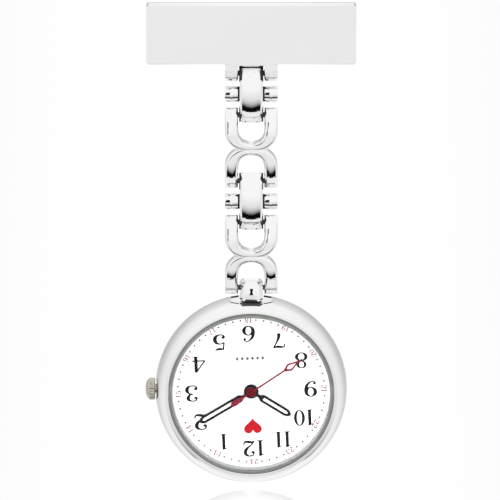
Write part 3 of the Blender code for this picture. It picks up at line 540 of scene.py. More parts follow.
RED_PRINT = surface("red_ink", (0.36, 0.001, 0.006), (0.3, 0.001, 0.008), (0.3, 0.5), 2000,
    **INK)
HAND_BLACK = surface("black_lacquer", (0.002, 0.002, 0.003), (0.005, 0.005, 0.006),
    (0.16, 0.28), 1500, 0.03, Specular_IOR_Level=0.2)
LUME = surface("hand_enamel", (0.93, 0.93, 0.9), (0.88, 0.89, 0.86), (0.5, 0.65), 3500, 0.15)
HAND_RED = surface("red_lacquer", (0.17, 0.004, 0.018), (0.13, 0.003, 0.014), (0.16, 0.3),
    1500, 0.03, Specular_IOR_Level=0.2)
BOSS_RED = surface("dark_red_lacquer", (0.085, 0, 0.002), (0.065, 0, 0.002), (0.3, 0.45),
    1500, 0.03, Specular_IOR_Level=0.06)
RUBBER = surface("gasket_rubber", (0.03, 0.03, 0.03), (0.045, 0.045, 0.045), (0.6, 0.8),
    2500, 0.2)
SEAL = surface("seal_ring", (0.095, 0.1, 0.092), (0.12, 0.126, 0.118), (0.3, 0.45), 1500, 0.05)
GLASS_EDGE = surface("ground_glass_edge", (0.11, 0.12, 0.11), (0.15, 0.16, 0.15), (0.25, 0.4),
    1500, 0.05)
# Painted shade: a mid grey on the case's inner wall round the dial's edge, where that wall lies in
# shadow
PAINTED_REHAUT_SHADE = surface("painted_rehaut_shade", (0.38, 0.385, 0.38), (0.33, 0.335, 0.33), (0.35, 0.5),
    1500, 0.05)
PLASTIC = surface("moulded_plastic", (0.78, 0.78, 0.74), (0.7, 0.7, 0.67), (0.42, 0.58),
    1200, 0.1)
COPPER = surface("wound_copper", (0.8, 0.38, 0.18), (0.55, 0.22, 0.1), (0.25, 0.4),
    1200, 0.6, 0.9, (18, 1, 1))
BOARD = surface("board_green", (0.02, 0.17, 0.07), (0.03, 0.24, 0.1), (0.35, 0.5), 900, 0.08)
CHIP = surface("chip_black", (0.015, 0.015, 0.017), (0.03, 0.03, 0.032), (0.5, 0.65), 3000, 0.15)
MAGNET = surface("sintered_magnet", (0.24, 0.24, 0.26), (0.16, 0.16, 0.17), (0.35, 0.5),
    2500, 0.2, 0.8)


def clear_glass():
    """A pane that mirrors a little, more at a slant, and lets light and sight through."""
    material, nodes, shader = new_material("crystal_glass", 1.0)
    shader.inputs["Base Color"].default_value = (0.96, 0.985, 0.975, 1)
    smear = nodes.spread(nodes.noise(260, 2), 0.35, 0.65, 0.0, 0.03)
    nodes.tree.links.new(smear, shader.inputs["Roughness"])
    slant = nodes.add("ShaderNodeLayerWeight", {"Blend": 0.5}).outputs["Facing"]
    glare = nodes.math("MULTIPLY_ADD", nodes.math("POWER", slant, 5), 1 - GLASS_GLARE, GLASS_GLARE)
    nodes.tree.links.new(glare, shader.inputs["Alpha"])
    return material


GLASS = clear_glass()


# Brooch


def lug_side():
    top = -PINS[0] - BAR_HEIGHT / 2 + BAR_WALL / 2
    front = BAR_DEPTH / 2
    rear = [(-LUG_END, top), (-LUG_END, -LUG_END)]
    return filleted(rear + [(0.85, -LUG_END), (front, -0.46), (front, top)], 0.12)


def lug_wall(point):
    """Leans a lug's inner wall back towards the link and spreads it downwards."""
    share = (point.z + LUG_END) / (BAR_DEPTH / 2 + LUG_END)
    if abs(point.x) < LINK_INNER + 0.45:
        spread = 0.13 * (PINS[0] + 0.3 - point.y)
        point.x += copysign(SPLAY * (share - 0.45) + max(-0.2, min(0.15, spread)), point.x)
    return point


def brooch_bar():
    half_x, half_y, front = BAR_WIDTH / 2, BAR_HEIGHT / 2, BAR_DEPTH / 2
    outline = filleted(rectangle(-half_x, half_x, -half_y, half_y), BAR_CORNER)
    bar = prism([outline], -front, front)
    tray_x, tray_y = half_x - BAR_WALL, half_y - BAR_WALL
    tray = filleted(rectangle(-tray_x, tray_x, -tray_y, tray_y), 0.3)
    sliced(bar, "z", [BAR_RIM - front])
    carve(bar, prism([tray], -front - 1, front - BAR_FACE))
    width, middle = LINK_OUTER - LINK_INNER, (LINK_OUTER + LINK_INNER) / 2
    for sign in (-1, 1):
        lug = prism([lug_side()], -width / 2, width / 2)
        placed(lug, (sign * middle, PINS[0], 0), "-x")
        fuse(bar, reshape(sliced(lug, "y", spaced(-8, -4, 12)), lug_wall))
    bridge = LINK_INNER + 0.1
    fuse(bar, block((-bridge, BRIDGE_BOTTOM, BRIDGE_REAR), (bridge, BRIDGE_TOP, front)))
    drill(bar, PINS[0], BAR_WIDTH)
    # Painted shade on the lugs' inner walls, so the gaps beside the link read dark
    paint(bar, 1, lambda c, n: abs(n.x) > 0.8 and abs(c.x) < LINK_INNER + 0.3)
    sliced(bar, "z", [BRIDGE_STEP])
    # The bridge's underside: painted shade on its rear part and painted light on its front part,
    # both seen mirrored in the bar's tip
    for index, rear, ahead in ((1, BRIDGE_REAR, BRIDGE_STEP), (3, BRIDGE_STEP, front)):
        paint(bar, index, lambda c, n: n.y < -0.9 and abs(c.x) < LINK_INNER
              and abs(c.y - BRIDGE_BOTTOM) < 0.03 and rear < c.z < ahead)
    # A painted reflection: grey along the rear strip of the bar's top face
    paint(bar, 2, lambda c, n: n.y > 0.5 and c.y > half_y - 0.1 and c.z < BAR_RIM - front)
    finish(bar, "brooch_bar", "brooch", [CHROME, PAINTED_SHADE, PAINTED_RIM_REFLECTION, PAINTED_BRIGHT_REFLECTION],
           "brooch_plate", 0.12)


def at_rivet(obj, along="y"):
    return placed(obj, (HINGE_X, 0, STEM_AXIS), along)


def pin_base():
    strip = prism([filleted(rectangle(-13, 13, -1.5, 1.5), 0.4)], STRIP_REAR, STRIP_FRONT, 0.06)
    finish(strip, "pin_strip", "brooch", [PIN_STEEL], "pin_base_strip")

    bracket = block((HINGE_X - 1, -1.2, -3.5), (HINGE_X + 1, 1.2, STRIP_REAR - FOOT_GAP))
    carve(bracket, block((HINGE_X - 2, -0.8, -5), (HINGE_X + 2, 0.8, -1.2)))
    rear = at_rivet(rod(1.0, 4))
    keep = block((HINGE_X - 2, -2, STEM_AXIS), (HINGE_X + 2, 2, 1))
    combine(bracket, [fuse(rear, keep)], "INTERSECT")
    carve(bracket, at_rivet(rod(RIVET_HOLE, 4)))
    finish(bracket, "pin_bracket", "brooch", [PIN_STEEL], "pin_hinge_bracket",
           0.07)

    half = [(0, 1.53), (0.30, 1.53), (0.50, 1.44), (0.55, 1.34), (0.55, 1.23), (0.32, 1.23)]
    rivet = lathe(half + [(r, -z) for r, z in reversed(half)], SMALL_ROUND)
    at_rivet(rivet)
    finish(rivet, "pin_rivet", "brooch", [PIN_STEEL], "pin_hinge_rivet")


def pin_wire():
    length, taper = HINGE_X + 11.9, 2.2
    profile = [(0, length), (0.05, length - 0.04), (0.12, length - 0.3)]
    profile += [(0.31, length - taper * 0.6), (STEM_RADIUS, length - taper)]
    profile += [(STEM_RADIUS, 0.45), (0, 0.45)]
    eye = at_rivet(rod(EYE_RADIUS, 1.4, edge=0.12))
    fuse(eye, at_rivet(lathe(profile, SMALL_ROUND), "-x"))
    carve(eye, at_rivet(rod(RIVET_HOLE, 4)))
    finish(eye, "pin_wire", "stem_wire", [PIN_STEEL], "pin_stem")


def open_ring(outer, inner, slot, length, x):
    """A ring round the pin stem with a slot in its rear, for the stem to leave by."""
    tube = prism([circle(outer, sides=72), circle(inner, sides=72)], -length / 2, length / 2)
    placed(tube, (x, 0, STEM_AXIS), "-x")
    behind = STEM_AXIS - 2 * outer
    return carve(tube, block((x - length, -slot / 2, behind), (x + length, slot / 2, STEM_AXIS)))


def brooch_catch():
    body = open_ring(1.5, 1.14, 1.2, 1.5, CATCH_X)
    foot = block((CATCH_X - 0.75, -0.6, -1.38), (CATCH_X + 0.75, 0.6, STRIP_REAR - FOOT_GAP))
    finish(fuse(body, foot), "catch_hook", "brooch", [PIN_STEEL], "catch_body",
           0.05)
    roller = open_ring(1.08, 0.58, 1.1, 2.1, CATCH_X + 0.3)
    tab_x = CATCH_X + 1.1
    tab = block((tab_x - 0.2, 0.75, STEM_AXIS - 0.35), (tab_x + 0.2, 2.1, STEM_AXIS + 0.05), 0.1)
    finish(fuse(roller, tab), "catch_turning_ring", "roller", [PIN_STEEL],
           "catch_roller", 0.05)


# Chain


def spaced(low, high, count):
    return [low + (high - low) * (i + 0.5) / count for i in range(count)]


def link_front(reach, pitch, dome_start, facet=FACET):
    """How far forward a link's front stands at a distance from its middle: flat, dome, facet."""
    length, tilt = facet
    dome_end = pitch / 2 - length
    run = max(0.0, min(reach, dome_end) - dome_start)
    dome = run * run / (2 * (dome_end - dome_start)) * tan(DOME_TILT)
    return LINK_PEAK - dome - max(0.0, reach - dome_end) * tan(tilt)


def link_back(reach, pitch, end):
    """How far back a link reaches, with the ends past its pins rounded."""
    past = min(1.0, max(0.0, (reach - pitch / 2) / end))
    return 0.7 * (1 - sqrt(1 - 0.96 * past * past)) - LINK_BACK


def link_shape(pitch, end, dome_start, crown, arms=False, low=FACET):
    """A move that domes a link's front, crowns it across and rounds the back of its ends.

    With arms, each has its own crown and leans open. The lower end may have another facet.
    """
    middle = (LINK_OUTER + LINK_INNER) / 2 if arms else 0

    def move(point):
        reach = abs(point.y)
        share = (point.z + LINK_BACK) / (LINK_PEAK + LINK_BACK)
        facet = low if point.y < 0 else FACET
        near = min(1.0, max(0.0, (reach - 2.0) / 1.0)) if arms else 1.0
        crowned = near * (abs(point.x) - middle) ** 2 / crown
        back = link_back(reach, pitch, end)
        point.z = back + (link_front(reach, pitch, dome_start, facet) - crowned - back) * share
        if arms and abs(point.x) < LINK_INNER + 0.5:
            near = min(1.0, max(0.0, (reach - pitch / 2 + 2.8) / 1.2))
            point.x += copysign(SPLAY * near * (share - 0.45), point.x)
        return point

    return move


def knuckle_side():
    """A knuckle's outline, (depth, height) from a cross link's middle: inside the bar's side. It
    fills the gap beside the bar and carries painted shade.
    """
    half = CROSS_PITCH / 2
    stops = [half + 1.15 * (i / 6 - 1) for i in range(13)]
    front = [(link_front(y, CROSS_PITCH, 0.0) - KNUCKLE_INSET, y) for y in stops]
    back = [(link_back(y, CROSS_PITCH, CENTRE_END) + KNUCKLE_INSET, y) for y in stops]
    return front + back[::-1]


def cross_bar():
    """The domed bar of a cross link, a little waisted."""
    reach, narrow = CROSS_PITCH / 2 + CENTRE_END, 0.2
    heights = spaced(-reach, reach, 40)
    side = [(CENTRE_HALF - narrow * (y / reach) ** 2, y) for y in heights if abs(y) < reach - 0.8]
    side = [(CENTRE_HALF - narrow, -reach)] + side + [(CENTRE_HALF - narrow, reach)]
    outline = filleted(mirrored(side), 0.65, 4)
    bar = prism([outline], -LINK_BACK, LINK_PEAK, LINK_CHAMFER, 0)
    sliced(sliced(bar, "y", heights), "x", spaced(-1.2, 1.2, 8))
    return reshape(bar, link_shape(CROSS_PITCH, CENTRE_END, 0.0, 84))


def wings():
    """The two barrels beside a cross link's bar."""
    width = LINK_OUTER - LINK_INNER - 0.05
    rows = [(WING_FRONT * (1 - WING_CROWN * s * s), s * width / 2)
            for s in (-0.97, -0.8, -0.6, -0.4, -0.2, 0, 0.2, 0.4, 0.6, 0.8, 0.97)]
    ends = [(WING_FRONT * 0.83, width / 2), (0, width / 2)]
    barrel = [(r, -x) for r, x in reversed(ends)] + rows + ends
    stretch = Matrix.Diagonal((1, WING_HALF / WING_FRONT, 1, 1))
    for sign in (-1, 1):
        wing = placed(lathe(barrel, 96), along="-x")
        wing.data.transform(Matrix.Translation((sign * (LINK_OUTER - width / 2), 0, 0)) @ stretch)
        yield wing


def cross_link(number, top, body, node):
    half = CROSS_PITCH / 2
    bar = cross_bar()
    for wing in wings():
        fuse(bar, wing)
    neck = placed(rod(0.84, 2 * LINK_INNER + 0.6, 32), along="-x")
    neck.data.transform(Matrix.Diagonal((1, 1.4, 1, 1)))
    for sign in (-1, 1):
        side = [(depth, sign * y) for depth, y in knuckle_side()]
        fuse(bar, placed(prism([side], -KNUCKLE_HALF, KNUCKLE_HALF), along="-x"))
    fuse(bar, neck)
    carve(bar, block((-5, -5, -4), (5, 5, -LINK_BACK)))
    for y in (half, -half):
        drill(bar, y, 8)

    # Painted shade on the faces in the gap beside the bar and on the knuckles' sides, fronts and
    # backs, so the gap reads dark
    def in_gap(c, n):
        return CENTRE_HALF - 0.02 < abs(c.x) < LINK_INNER + 0.12 and abs(c.y) < 1.5

    def on_knuckle(c, n):
        past = abs(abs(c.y) - half)
        if abs(n.x) > 0.9:
            return past < CENTRE_END
        front = link_front(abs(c.y), CROSS_PITCH, 0.0) - KNUCKLE_INSET + 0.03
        back = link_back(abs(c.y), CROSS_PITCH, CENTRE_END) + KNUCKLE_INSET - 0.03
        return abs(n.x) < 0.1 and past < 1.2 and abs(c.x) < 2.0 and back < c.z < front

    paint(bar, 1, in_gap)
    paint(bar, 1, on_knuckle)
    placed(bar, (0, top - half, 0))
    finish(bar, f"cross_link_{number}", body, [CHROME, PAINTED_SHADE], node)


def bowl(half, depth, low, fullness, steps=26):
    """The right half of a bowl's curve, from its lowest point up to its side."""
    curve = []
    for i in range(steps + 1):
        a = pi / 2 * i / steps
        across = sin(a) ** (2 / fullness)
        fall = abs(cos(a)) ** (2 / fullness)
        curve.append((half * across, low + depth * (1 - fall)))
    return curve


def double_link(number, top, body, node, low_shade, low):
    """Two back-to-back U shapes. low is the lower end's facet; low_shade is how far the painted
    shade on the inner walls reaches either side of the lower pin.
    """
    half = DOUBLE_PITCH / 2
    reach = half + ARM_END
    outer = bowl(LINK_OUTER, U_CENTRE - U_OUTER, U_OUTER, 2.35) + [(LINK_OUTER, reach)]
    inner = bowl(LINK_INNER, U_CENTRE - 0.2 - U_INNER, U_INNER, 2.3) + [(LINK_INNER, reach)]
    outline = mirrored(outer + inner[::-1])
    halves = [prism([outline], -LINK_BACK, LINK_PEAK, LINK_FILLET, 5) for _ in range(2)]
    placed(halves[1], spin=pi)
    web = block((-2.62, -0.8, -LINK_BACK + 0.15), (2.62, 0.8, LINK_PEAK - 0.5), 0.1)
    link = fuse(halves[0], halves[1], web)
    sliced(link, "y", spaced(-reach, reach, 72))
    arms = spaced(LINK_INNER + 0.5, LINK_OUTER - 0.5, 5)
    sliced(link, "x", arms + [-x for x in arms])
    reshape(link, link_shape(DOUBLE_PITCH, ARM_END, 2.0, 40, True, low))
    for y in (half, -half):
        drill(link, y, 10)
    # Painted shade on the arms' inner walls near the pins, so the gaps beside the next link read
    # dark
    paint(link, 1, lambda c, n: abs(n.x) > 0.85 and abs(c.x) < LINK_INNER + 0.3
          and abs(abs(c.y) - half) < (1.5 if c.y > 0 else low_shade))
    placed(link, (0, top - half, 0))
    finish(link, f"double_link_{number}", body, [CHROME, PAINTED_SHADE], node)


def chain():
    cross_link(1, PINS[0], "upper_cross", "cross_link_upper")
    double_link(1, PINS[1], "upper_double", "double_link_upper", 1.5, FACET)
    cross_link(2, PINS[2], "lower_cross", "cross_link_lower")
    double_link(2, PINS[3], "lower_double", "double_link_lower", 0.6, LONG_FACET)
    for number, height in enumerate(PINS, start=1):
        node = f"hinge_pin_{number}"
        pin = placed(rod(PIN_RADIUS, PIN_LENGTH, edge=0.07), (0, height, 0), "-x")
        # The stretch of each pin that shows in the gaps between links gets painted shade
        near, far = LINK_INNER - 0.4, LINK_INNER + 0.15
        sliced(pin, "x", [-far, -near, near, far])
        paint(pin, 1, lambda c, n: near < abs(c.x) < far)
        finish(pin, f"chain_pin_{number}", NODES[node]["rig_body"], [PIN_STEEL, PAINTED_SHADE],
               node)


# Case


def bail_loop():
    """The front outline of the bail, measured from its hinge pin."""
    half, top, bottom = 1.82, 1.22, -2.0
    right = arc((half - 0.45, bottom + 0.45), 0.45, -90, 0, 8)
    return mirrored(right + arc((half - 0.75, top - 0.75), 0.75, 0, 90, 14))


def bail_levels():
    """The bail's outline at each level, from its back to the middle of its domed front."""
    loop, middle, back = bail_loop(), -0.45, -1.2

    def front(x, y):
        above = y + 1.3
        return (1.47 - (x - 0.45) ** 2 / 8.0 - max(0.0, above) ** 2 / 7.2
                + 0.09 * max(0.0, -above))

    def face(x, y):
        """Where an edge point lands on the front face, which widens downwards."""
        low = (1.22 - y) / 3.22
        return x * (0.62 + 0.16 * low), middle + (y - middle) * (0.86 if y > middle else 0.97)

    yield [(x * 0.96, middle + (y - middle) * 0.97, back) for x, y in loop]
    yield [(x, y, back + 0.15) for x, y in loop]
    yield [(x, y, front(x, y) - 0.42) for x, y in loop]
    for share in (1.0, 0.88, 0.76, 0.64, 0.52, 0.4, 0.28, 0.16, 0.03):
        edge = [face(x, y) for x, y in loop]
        inner = [(x * share, middle + (y - middle) * share) for x, y in edge]
        yield [(x, y, front(x, y)) for x, y in inner]


def bail():
    levels = list(bail_levels())
    count = len(levels[0])
    points = [point for level in levels for point in level]
    faces = [tuple(range(count))[::-1], tuple(range(len(points) - count, len(points)))]
    for low in range(0, len(points) - count, count):
        for i in range(count):
            j = (i + 1) % count
            faces.append((low + i, low + j, low + count + j, low + count + i))
    pin = PINS[-1]
    knuckle = placed(new_object(mesh_of(points, faces)), (0, pin, 0))
    # A stem under the bail fills the slot and carries painted shadow
    foot = NOTCH_FLOOR + 0.03 + CENTRE
    fuse(knuckle, block((-SHADE_HALF, foot, -0.95), (SHADE_HALF, pin - 1.7, 0.95)))
    drill(knuckle, pin, 6)
    # Painted shadow under the bail, on its bottom and the stem below, and painted shade on its
    # sides
    paint(knuckle, 1, lambda c, n: c.y < pin - 1.98)
    paint(knuckle, 1, lambda c, n: abs(n.x) > 0.9 and abs(c.x) > 1.7)
    finish(knuckle, "bail_knuckle", "watch", [CHROME, PAINTED_SHADE], "bail", crease=14)


def in_case(obj, x=0, y=0, z=0, along="z", spin=0.0):
    """Place a solid that is measured from the case's centre."""
    return placed(obj, (x, CENTRE + y, z), along, spin)


def case_ring():
    """The turned middle of the case, with its bezel, before any opening is cut."""
    bezel = [(13.36, 3.90), (13.85, 3.62), (14.38, 3.06), (14.75, 2.20), (14.96, 1.05)]
    bezel += [(CASE_RADIUS, 0.20), (CASE_RADIUS, -0.60), (14.80, -1.50), (14.34, -2.41)]
    inner = [(14.28, -2.45), (13.35, -2.45), (13.35, -1.30), (12.75, -1.30), (12.75, 1.95)]
    inner += [(12.38, 1.95), (12.58, 2.85), (12.95, 2.85), (12.95, 3.86)]
    return in_case(lathe([(13.02, 3.92)] + smooth(bezel, 8) + inner))


def case_shell():
    shell = case_ring()
    seat_radius, floor, outside = CROWN_RADIUS + 0.1, CENTRE + NOTCH_FLOOR, 17
    pocket = block((-NOTCH_HALF, NOTCH_FLOOR, NOTCH_BACK), (NOTCH_HALF, outside, 6))
    slot = block((-SLOT_HALF, NOTCH_FLOOR, -6), (SLOT_HALF, outside, 6))
    seat = placed(rod(seat_radius, 1.6), (-CROWN_SEAT - 0.8, 0, STEM_Z), "-x")
    # A shallow groove behind the notch, whose rear wall carries painted shade as a dark line
    wall = [(16, GROOVE_REAR), (16, GROOVE_FRONT)]
    groove = lathe(wall + [(GROOVE_RADIUS, GROOVE_FRONT), (GROOVE_RADIUS, GROOVE_REAR)])
    combine(groove, [block((-GROOVE_HALF, 10, -2), (GROOVE_HALF, outside, 2))], "INTERSECT")
    carve(shell, in_case(pocket), in_case(slot), in_case(seat), in_case(groove))
    carve(shell, in_case(rod(0.86, 4), -14, 0, STEM_Z, "-x"))
    sliced(shell, "x", [-SHADE_HALF, SHADE_HALF])

    def on_floor(c, n):
        return abs(c.y - floor) < 0.05 and abs(c.x) < SHADE_HALF and n.y > 0.5

    def in_groove(c, n):
        return (abs(c.x) < GROOVE_HALF and c.y > floor and n.z > 0.9
                and abs(c.z - GROOVE_REAR) < 0.02)

    def in_seat(c, n):
        return (c.x < -14.6 and hypot(c.y - CENTRE, c.z - STEM_Z) < seat_radius + 0.01
                and abs(hypot(c.x, c.y - CENTRE) - CASE_RADIUS) > 0.03)

    def on_rehaut(c, n):
        return hypot(c.x, c.y - CENTRE) < 12.56 and 1.96 < c.z < 2.84

    # Painted: the crown's shadow and reflection round its seat, the shadow on the notch floor
    # under the bail, shade in the groove, and shade on the inner wall round the dial's edge
    for index, test in ((2, in_seat), (1, on_floor), (1, in_groove), (3, on_rehaut)):
        paint(shell, index, test)
    finish(shell, "case_shell", "watch", [CHROME, PAINTED_SHADE, PAINTED_CROWN_SHADE, PAINTED_REHAUT_SHADE],
           "case_body", crease=24)


def case_back():
    profile = [(0, -2.20), (12.95, -2.20), (12.95, -1.50), (13.28, -1.50), (13.28, -2.50)]
    profile += [(14.10, -2.50), (14.15, -2.56), (14.08, -2.78), (13.80, -2.92), (13.30, -3.12)]
    profile += [(12.85, -3.19), (12.4, -3.2), (0, -3.2)]
    cover = in_case(lathe(profile))
    finish(cover, "case_cover", "watch", [BACK_STEEL], "case_back")


def crystal():
    edge, front, rear = GLASS_RADIUS, GLASS_FRONT, GLASS_REAR
    profile = [(0, front), (edge - 0.32, front), (edge - 0.30, front - 0.01), (edge, front - 0.25)]
    pane = in_case(lathe(profile + [(edge, rear), (0, rear)]))
    paint(pane, 1, lambda c, n: abs(n.z) < 0.95)
    finish(pane, "crystal_pane", "watch", [GLASS, GLASS_EDGE], "crystal", crease=20)
    seal_ring = [(12.92, 3.80), (12.92, rear), (12.68, rear), (12.68, 3.86), (12.86, 3.86)]
    finish(in_case(lathe(seal_ring)), "crystal_seal", "watch", [SEAL], "crystal_gasket")


def crown_cap():
    edge, flutes = CROWN_RADIUS, 30
    rows = [(0, 1.10), (0.5, 1.10), (0.5, 0.4), (0.95, 0.4), (0.95, 0), (edge - 0.22, 0)]
    rows += [(edge - 0.08, 0.05), (edge, 0.14), (edge, 0.82), (edge - 0.06, 0.90)]
    rows += [(edge - 0.20, 0.93), (edge - 0.20, 0.97), (edge - 0.24, 1.06), (edge - 0.42, 1.22)]
    rows += [(edge - 0.75, 1.37), (0.6, 1.46), (0, 1.48)]
    fluted = {7: 1.0, 8: 1.0, 9: 0.6}

    def wave(angle, row):
        """Cuts flutes into the rows of the profile that have a share of their depth."""
        depth = 0.055 * fluted.get(row, 0.0)
        return 1 - depth * (0.5 + 0.5 * cos(flutes * angle)) ** 0.7

    cap = in_case(lathe(rows, flutes * 10, wave), -CROWN_FACE, 0, STEM_Z, "-x")
    finish(cap, "crown_cap", "crown_and_stem", [NICKEL], "crown")


def case():
    bail()
    case_shell()
    case_back()
    crystal()
    crown_cap()


# Dial. A digit's strokes are points of (x, y, pen width), in hundredths of its height

BALL, RING = "ball", "ring"
DIGITS = {
    "1": [[(-20, 0), (20, 0), (20, 3.5), (9.5, 6), (9, 100), (3, 100), (-20, 90.5), (-20, 87),
         (-9, 88.5), (-9.5, 6), (-20, 3.5)]],
    "2": [(BALL, 15, 74, 8.5), [(8, 74, 5), (14, 91, 6), (32, 97, 7), (50, 89, 15), (55, 71, 18),
         (47, 52, 15), (31, 36, 9), (16, 21, 6), (7, 5, 5)], [(5, 3, 5), (19, 12, 13),
         (36, 8.5, 16), (52, 7.5, 13), (60, 16, 6), (62, 27, 3)]],
    "3": [(BALL, 15, 78, 8), (BALL, 14, 22, 8.5), [(8, 79, 5), (16, 94, 6), (32, 97.5, 6),
         (48, 90, 14), (51, 76, 17), (44, 60, 10), (27, 54, 4.5)], [(27, 54, 4.5), (46, 50, 9),
         (56, 30, 18), (50, 10, 14), (33, 2.5, 6), (15, 6, 6), (7, 20, 5)]],
    "4": [[(45, 98, 6), (24, 63, 6), (3, 29, 6)], [(2, 24), (64, 24), (64, 32.5), (2, 32.5)],
         [(37, 3), (53, 3), (53, 100), (40, 100), (37, 95)], [(26, 0), (64, 0), (64, 4.5),
         (26, 4.5)]],
    "5": [(BALL, 14, 19, 8.5), [(14, 95, 5), (24, 91, 13), (38, 91, 15), (54, 98, 4)],
         [(15, 95, 5), (13, 73, 5), (11, 49, 5)], [(11, 50, 4.5), (28, 59, 6), (47, 52, 15),
         (54, 31, 18), (47, 11, 15), (30, 2.5, 6), (14, 6, 5), (7, 18, 5)]],
    "6": [(RING, 34, 31, 30, 31, 13, 24.5), (BALL, 53, 83, 7), [(57, 88, 5), (44, 97, 5),
         (27, 88, 10), (14, 66, 15), (11, 40, 16), (12, 27, 14)]],
    "7": [[(5, 72, 4), (10, 92, 6), (24, 92, 14), (42, 90, 15), (60, 96, 5)], [(59, 96, 6),
         (45, 66, 8), (34, 36, 14), (31, 7, 17)]],
    "8": [(RING, 33, 75.5, 23.5, 24.5, 11.5, 18), (RING, 33, 27.5, 30, 27.5, 14.5, 21)],
    "9": [(RING, 32, 69, 30, 31, 13, 24.5), (BALL, 13, 17, 7), [(9, 12, 5), (22, 3, 5),
         (39, 12, 10), (52, 34, 15), (55, 60, 16), (54, 73, 14)]],
    "0": [(RING, 33, 50, 33, 50, 15.5, 44)],
}
DIGIT_THICK = 0.1
BROAD, BROADER = 1.14, 1.27


def ribbon(points):
    """The outline of a pen stroke along a curve."""
    line = smooth(points, 8)
    left, right = [], []
    for i, (x, y, width) in enumerate(line):
        before, after = line[max(i - 1, 0)], line[min(i + 1, len(line) - 1)]
        dx, dy = after[0] - before[0], after[1] - before[1]
        size = hypot(dx, dy)
        pen = max(width, THIN_STROKE) / 2
        nx, ny = -dy / size * pen, dx / size * pen
        left.append((x + nx, y + ny))
        right.append((x - nx, y - ny))
    return left + right[::-1]


def digit(character):
    """One digit, one unit high and a tenth thick."""
    solids = []
    for kind, *rest in DIGITS[character]:
        if kind == BALL:
            x, y, radius = (value / 100 for value in rest)
            loops = [circle(radius, (x, y), 24)]
        elif kind == RING:
            x, y, *halves = (value / 100 for value in rest)
            loops = [ellipse((x, y), *halves[:2]), ellipse((x, y), *halves[2:])]
        else:
            stroke = [tuple(value / 100 for value in point) for point in (kind, *rest)]
            loops = [ribbon(stroke) if len(kind) == 3 else stroke]
        solids.append(prism(loops, 0, DIGIT_THICK))
    whole = fuse(*solids)
    whole.data.transform(Matrix.Diagonal((1.0 if character in "01" else BROAD, 1, 1, 1)))
    return whole


def digit_span(character):
    """Where a digit one unit high starts and ends, across."""
    spans = {"1": (-0.21, 0.21), "0": (0.02, 0.64)}
    return spans.get(character, (0.02, 0.64 * BROAD))


def lay_number(text, patterns, height, centre, spin, thick, gap):
    """A number of raised ink, centred on a place of the dial."""
    pen, shifts = 0.0, []
    for character in text:
        left, right = digit_span(character)
        shifts.append(pen - left)
        pen += right - left + gap
    width = pen - gap
    wide = BROADER / BROAD if len(text) == 1 and text != "1" else 1.0
    scale = Matrix.Diagonal((height * wide, height, thick / DIGIT_THICK, 1))
    solids = []
    for character, shift in zip(text, shifts):
        copy = add_object("digit", patterns[character].data.copy())
        copy.data.transform(scale @ Matrix.Translation((shift - width / 2, -0.5, 0)))
        solids.append(in_case(copy, *centre, INK_LEVEL, spin=spin))
    return solids


def hour_angle(hour):
    """Where an hour stands on the hanging dial, with twelve at the bottom."""
    return radians(-90 - 30 * hour) + DIAL_TURN


def on_dial(radius, angle):
    return (radius * cos(angle), radius * sin(angle))


def numerals():
    """The hours, upright to someone who wears the watch, and the ring from 13 to 24."""
    patterns = {character: digit(character) for character in DIGITS}
    hours, day_hours = [], []
    for hour in range(1, 13):
        angle = hour_angle(hour)
        hours += lay_number(str(hour), patterns, HOUR_HEIGHT, on_dial(HOUR_RING, angle),
                            pi + DIAL_TURN, HOUR_INK, 0.10)
        outward = -1 if 4 <= hour <= 8 else 1
        day_hours += lay_number(str(hour + 12), patterns, DAY_HOUR_HEIGHT,
                                on_dial(DAY_HOUR_RING, angle),
                                angle - outward * pi / 2, FINE_INK, 0.14)
    for pattern in patterns.values():
        discard(pattern)
    finish(join(hours), "hour_numerals", "watch", [PRINT])
    finish(join(day_hours), "day_hour_numerals", "watch", [ROSE_PRINT])


def minute_dots():
    dots = []
    for minute in range(60):
        if minute % 5:
            x, y = on_dial(DOT_RING, hour_angle(minute / 5))
            dot = prism([circle(DOT_RADIUS, sides=14)], 0, FINE_INK)
            dots.append(in_case(dot, x, y, INK_LEVEL))
    finish(join(dots), "minute_dots", "watch", [GREY_PRINT])


def dial_marks():
    """A row of lozenges and a heart."""
    lozenge = [(0.30, 0), (0, 0.36), (-0.30, 0), (0, -0.36)]
    row = []
    for i in range(6):
        x, y = -0.2 + 0.80 * (i - 2.5), 5.3 + 0.034 * (i - 2.5)
        row.append(in_case(prism([lozenge], 0, FINE_INK), x, y, INK_LEVEL, spin=DIAL_TURN))
    finish(join(row), "dial_ornament", "watch", [GREY_PRINT])
    heart, size = [], 0.088
    for i in range(60):
        t = 2 * pi * i / 60
        y = 13 * cos(t) - 5 * cos(2 * t) - 2 * cos(3 * t) - cos(4 * t)
        heart.append((16 * sin(t)**3 * size, y * size + 0.2))
    mark = in_case(prism([heart], 0, 0.016), 0.25, -5.6, INK_LEVEL, spin=pi + DIAL_TURN)
    finish(mark, "dial_heart", "watch", [RED_PRINT])


def dial():
    disc = prism([circle(DIAL_RADIUS, sides=ROUND), circle(1.0)], DIAL_REAR, DIAL_FRONT, 0.03)
    finish(in_case(disc), "dial_plate", "watch", [DIAL], "dial")
    numerals()
    minute_dots()
    dial_marks()


# Hands


def dial_turn(share):
    """How far a hand stands from straight up, for its share of a turn past twelve."""
    return pi - 2 * pi * share + DIAL_TURN


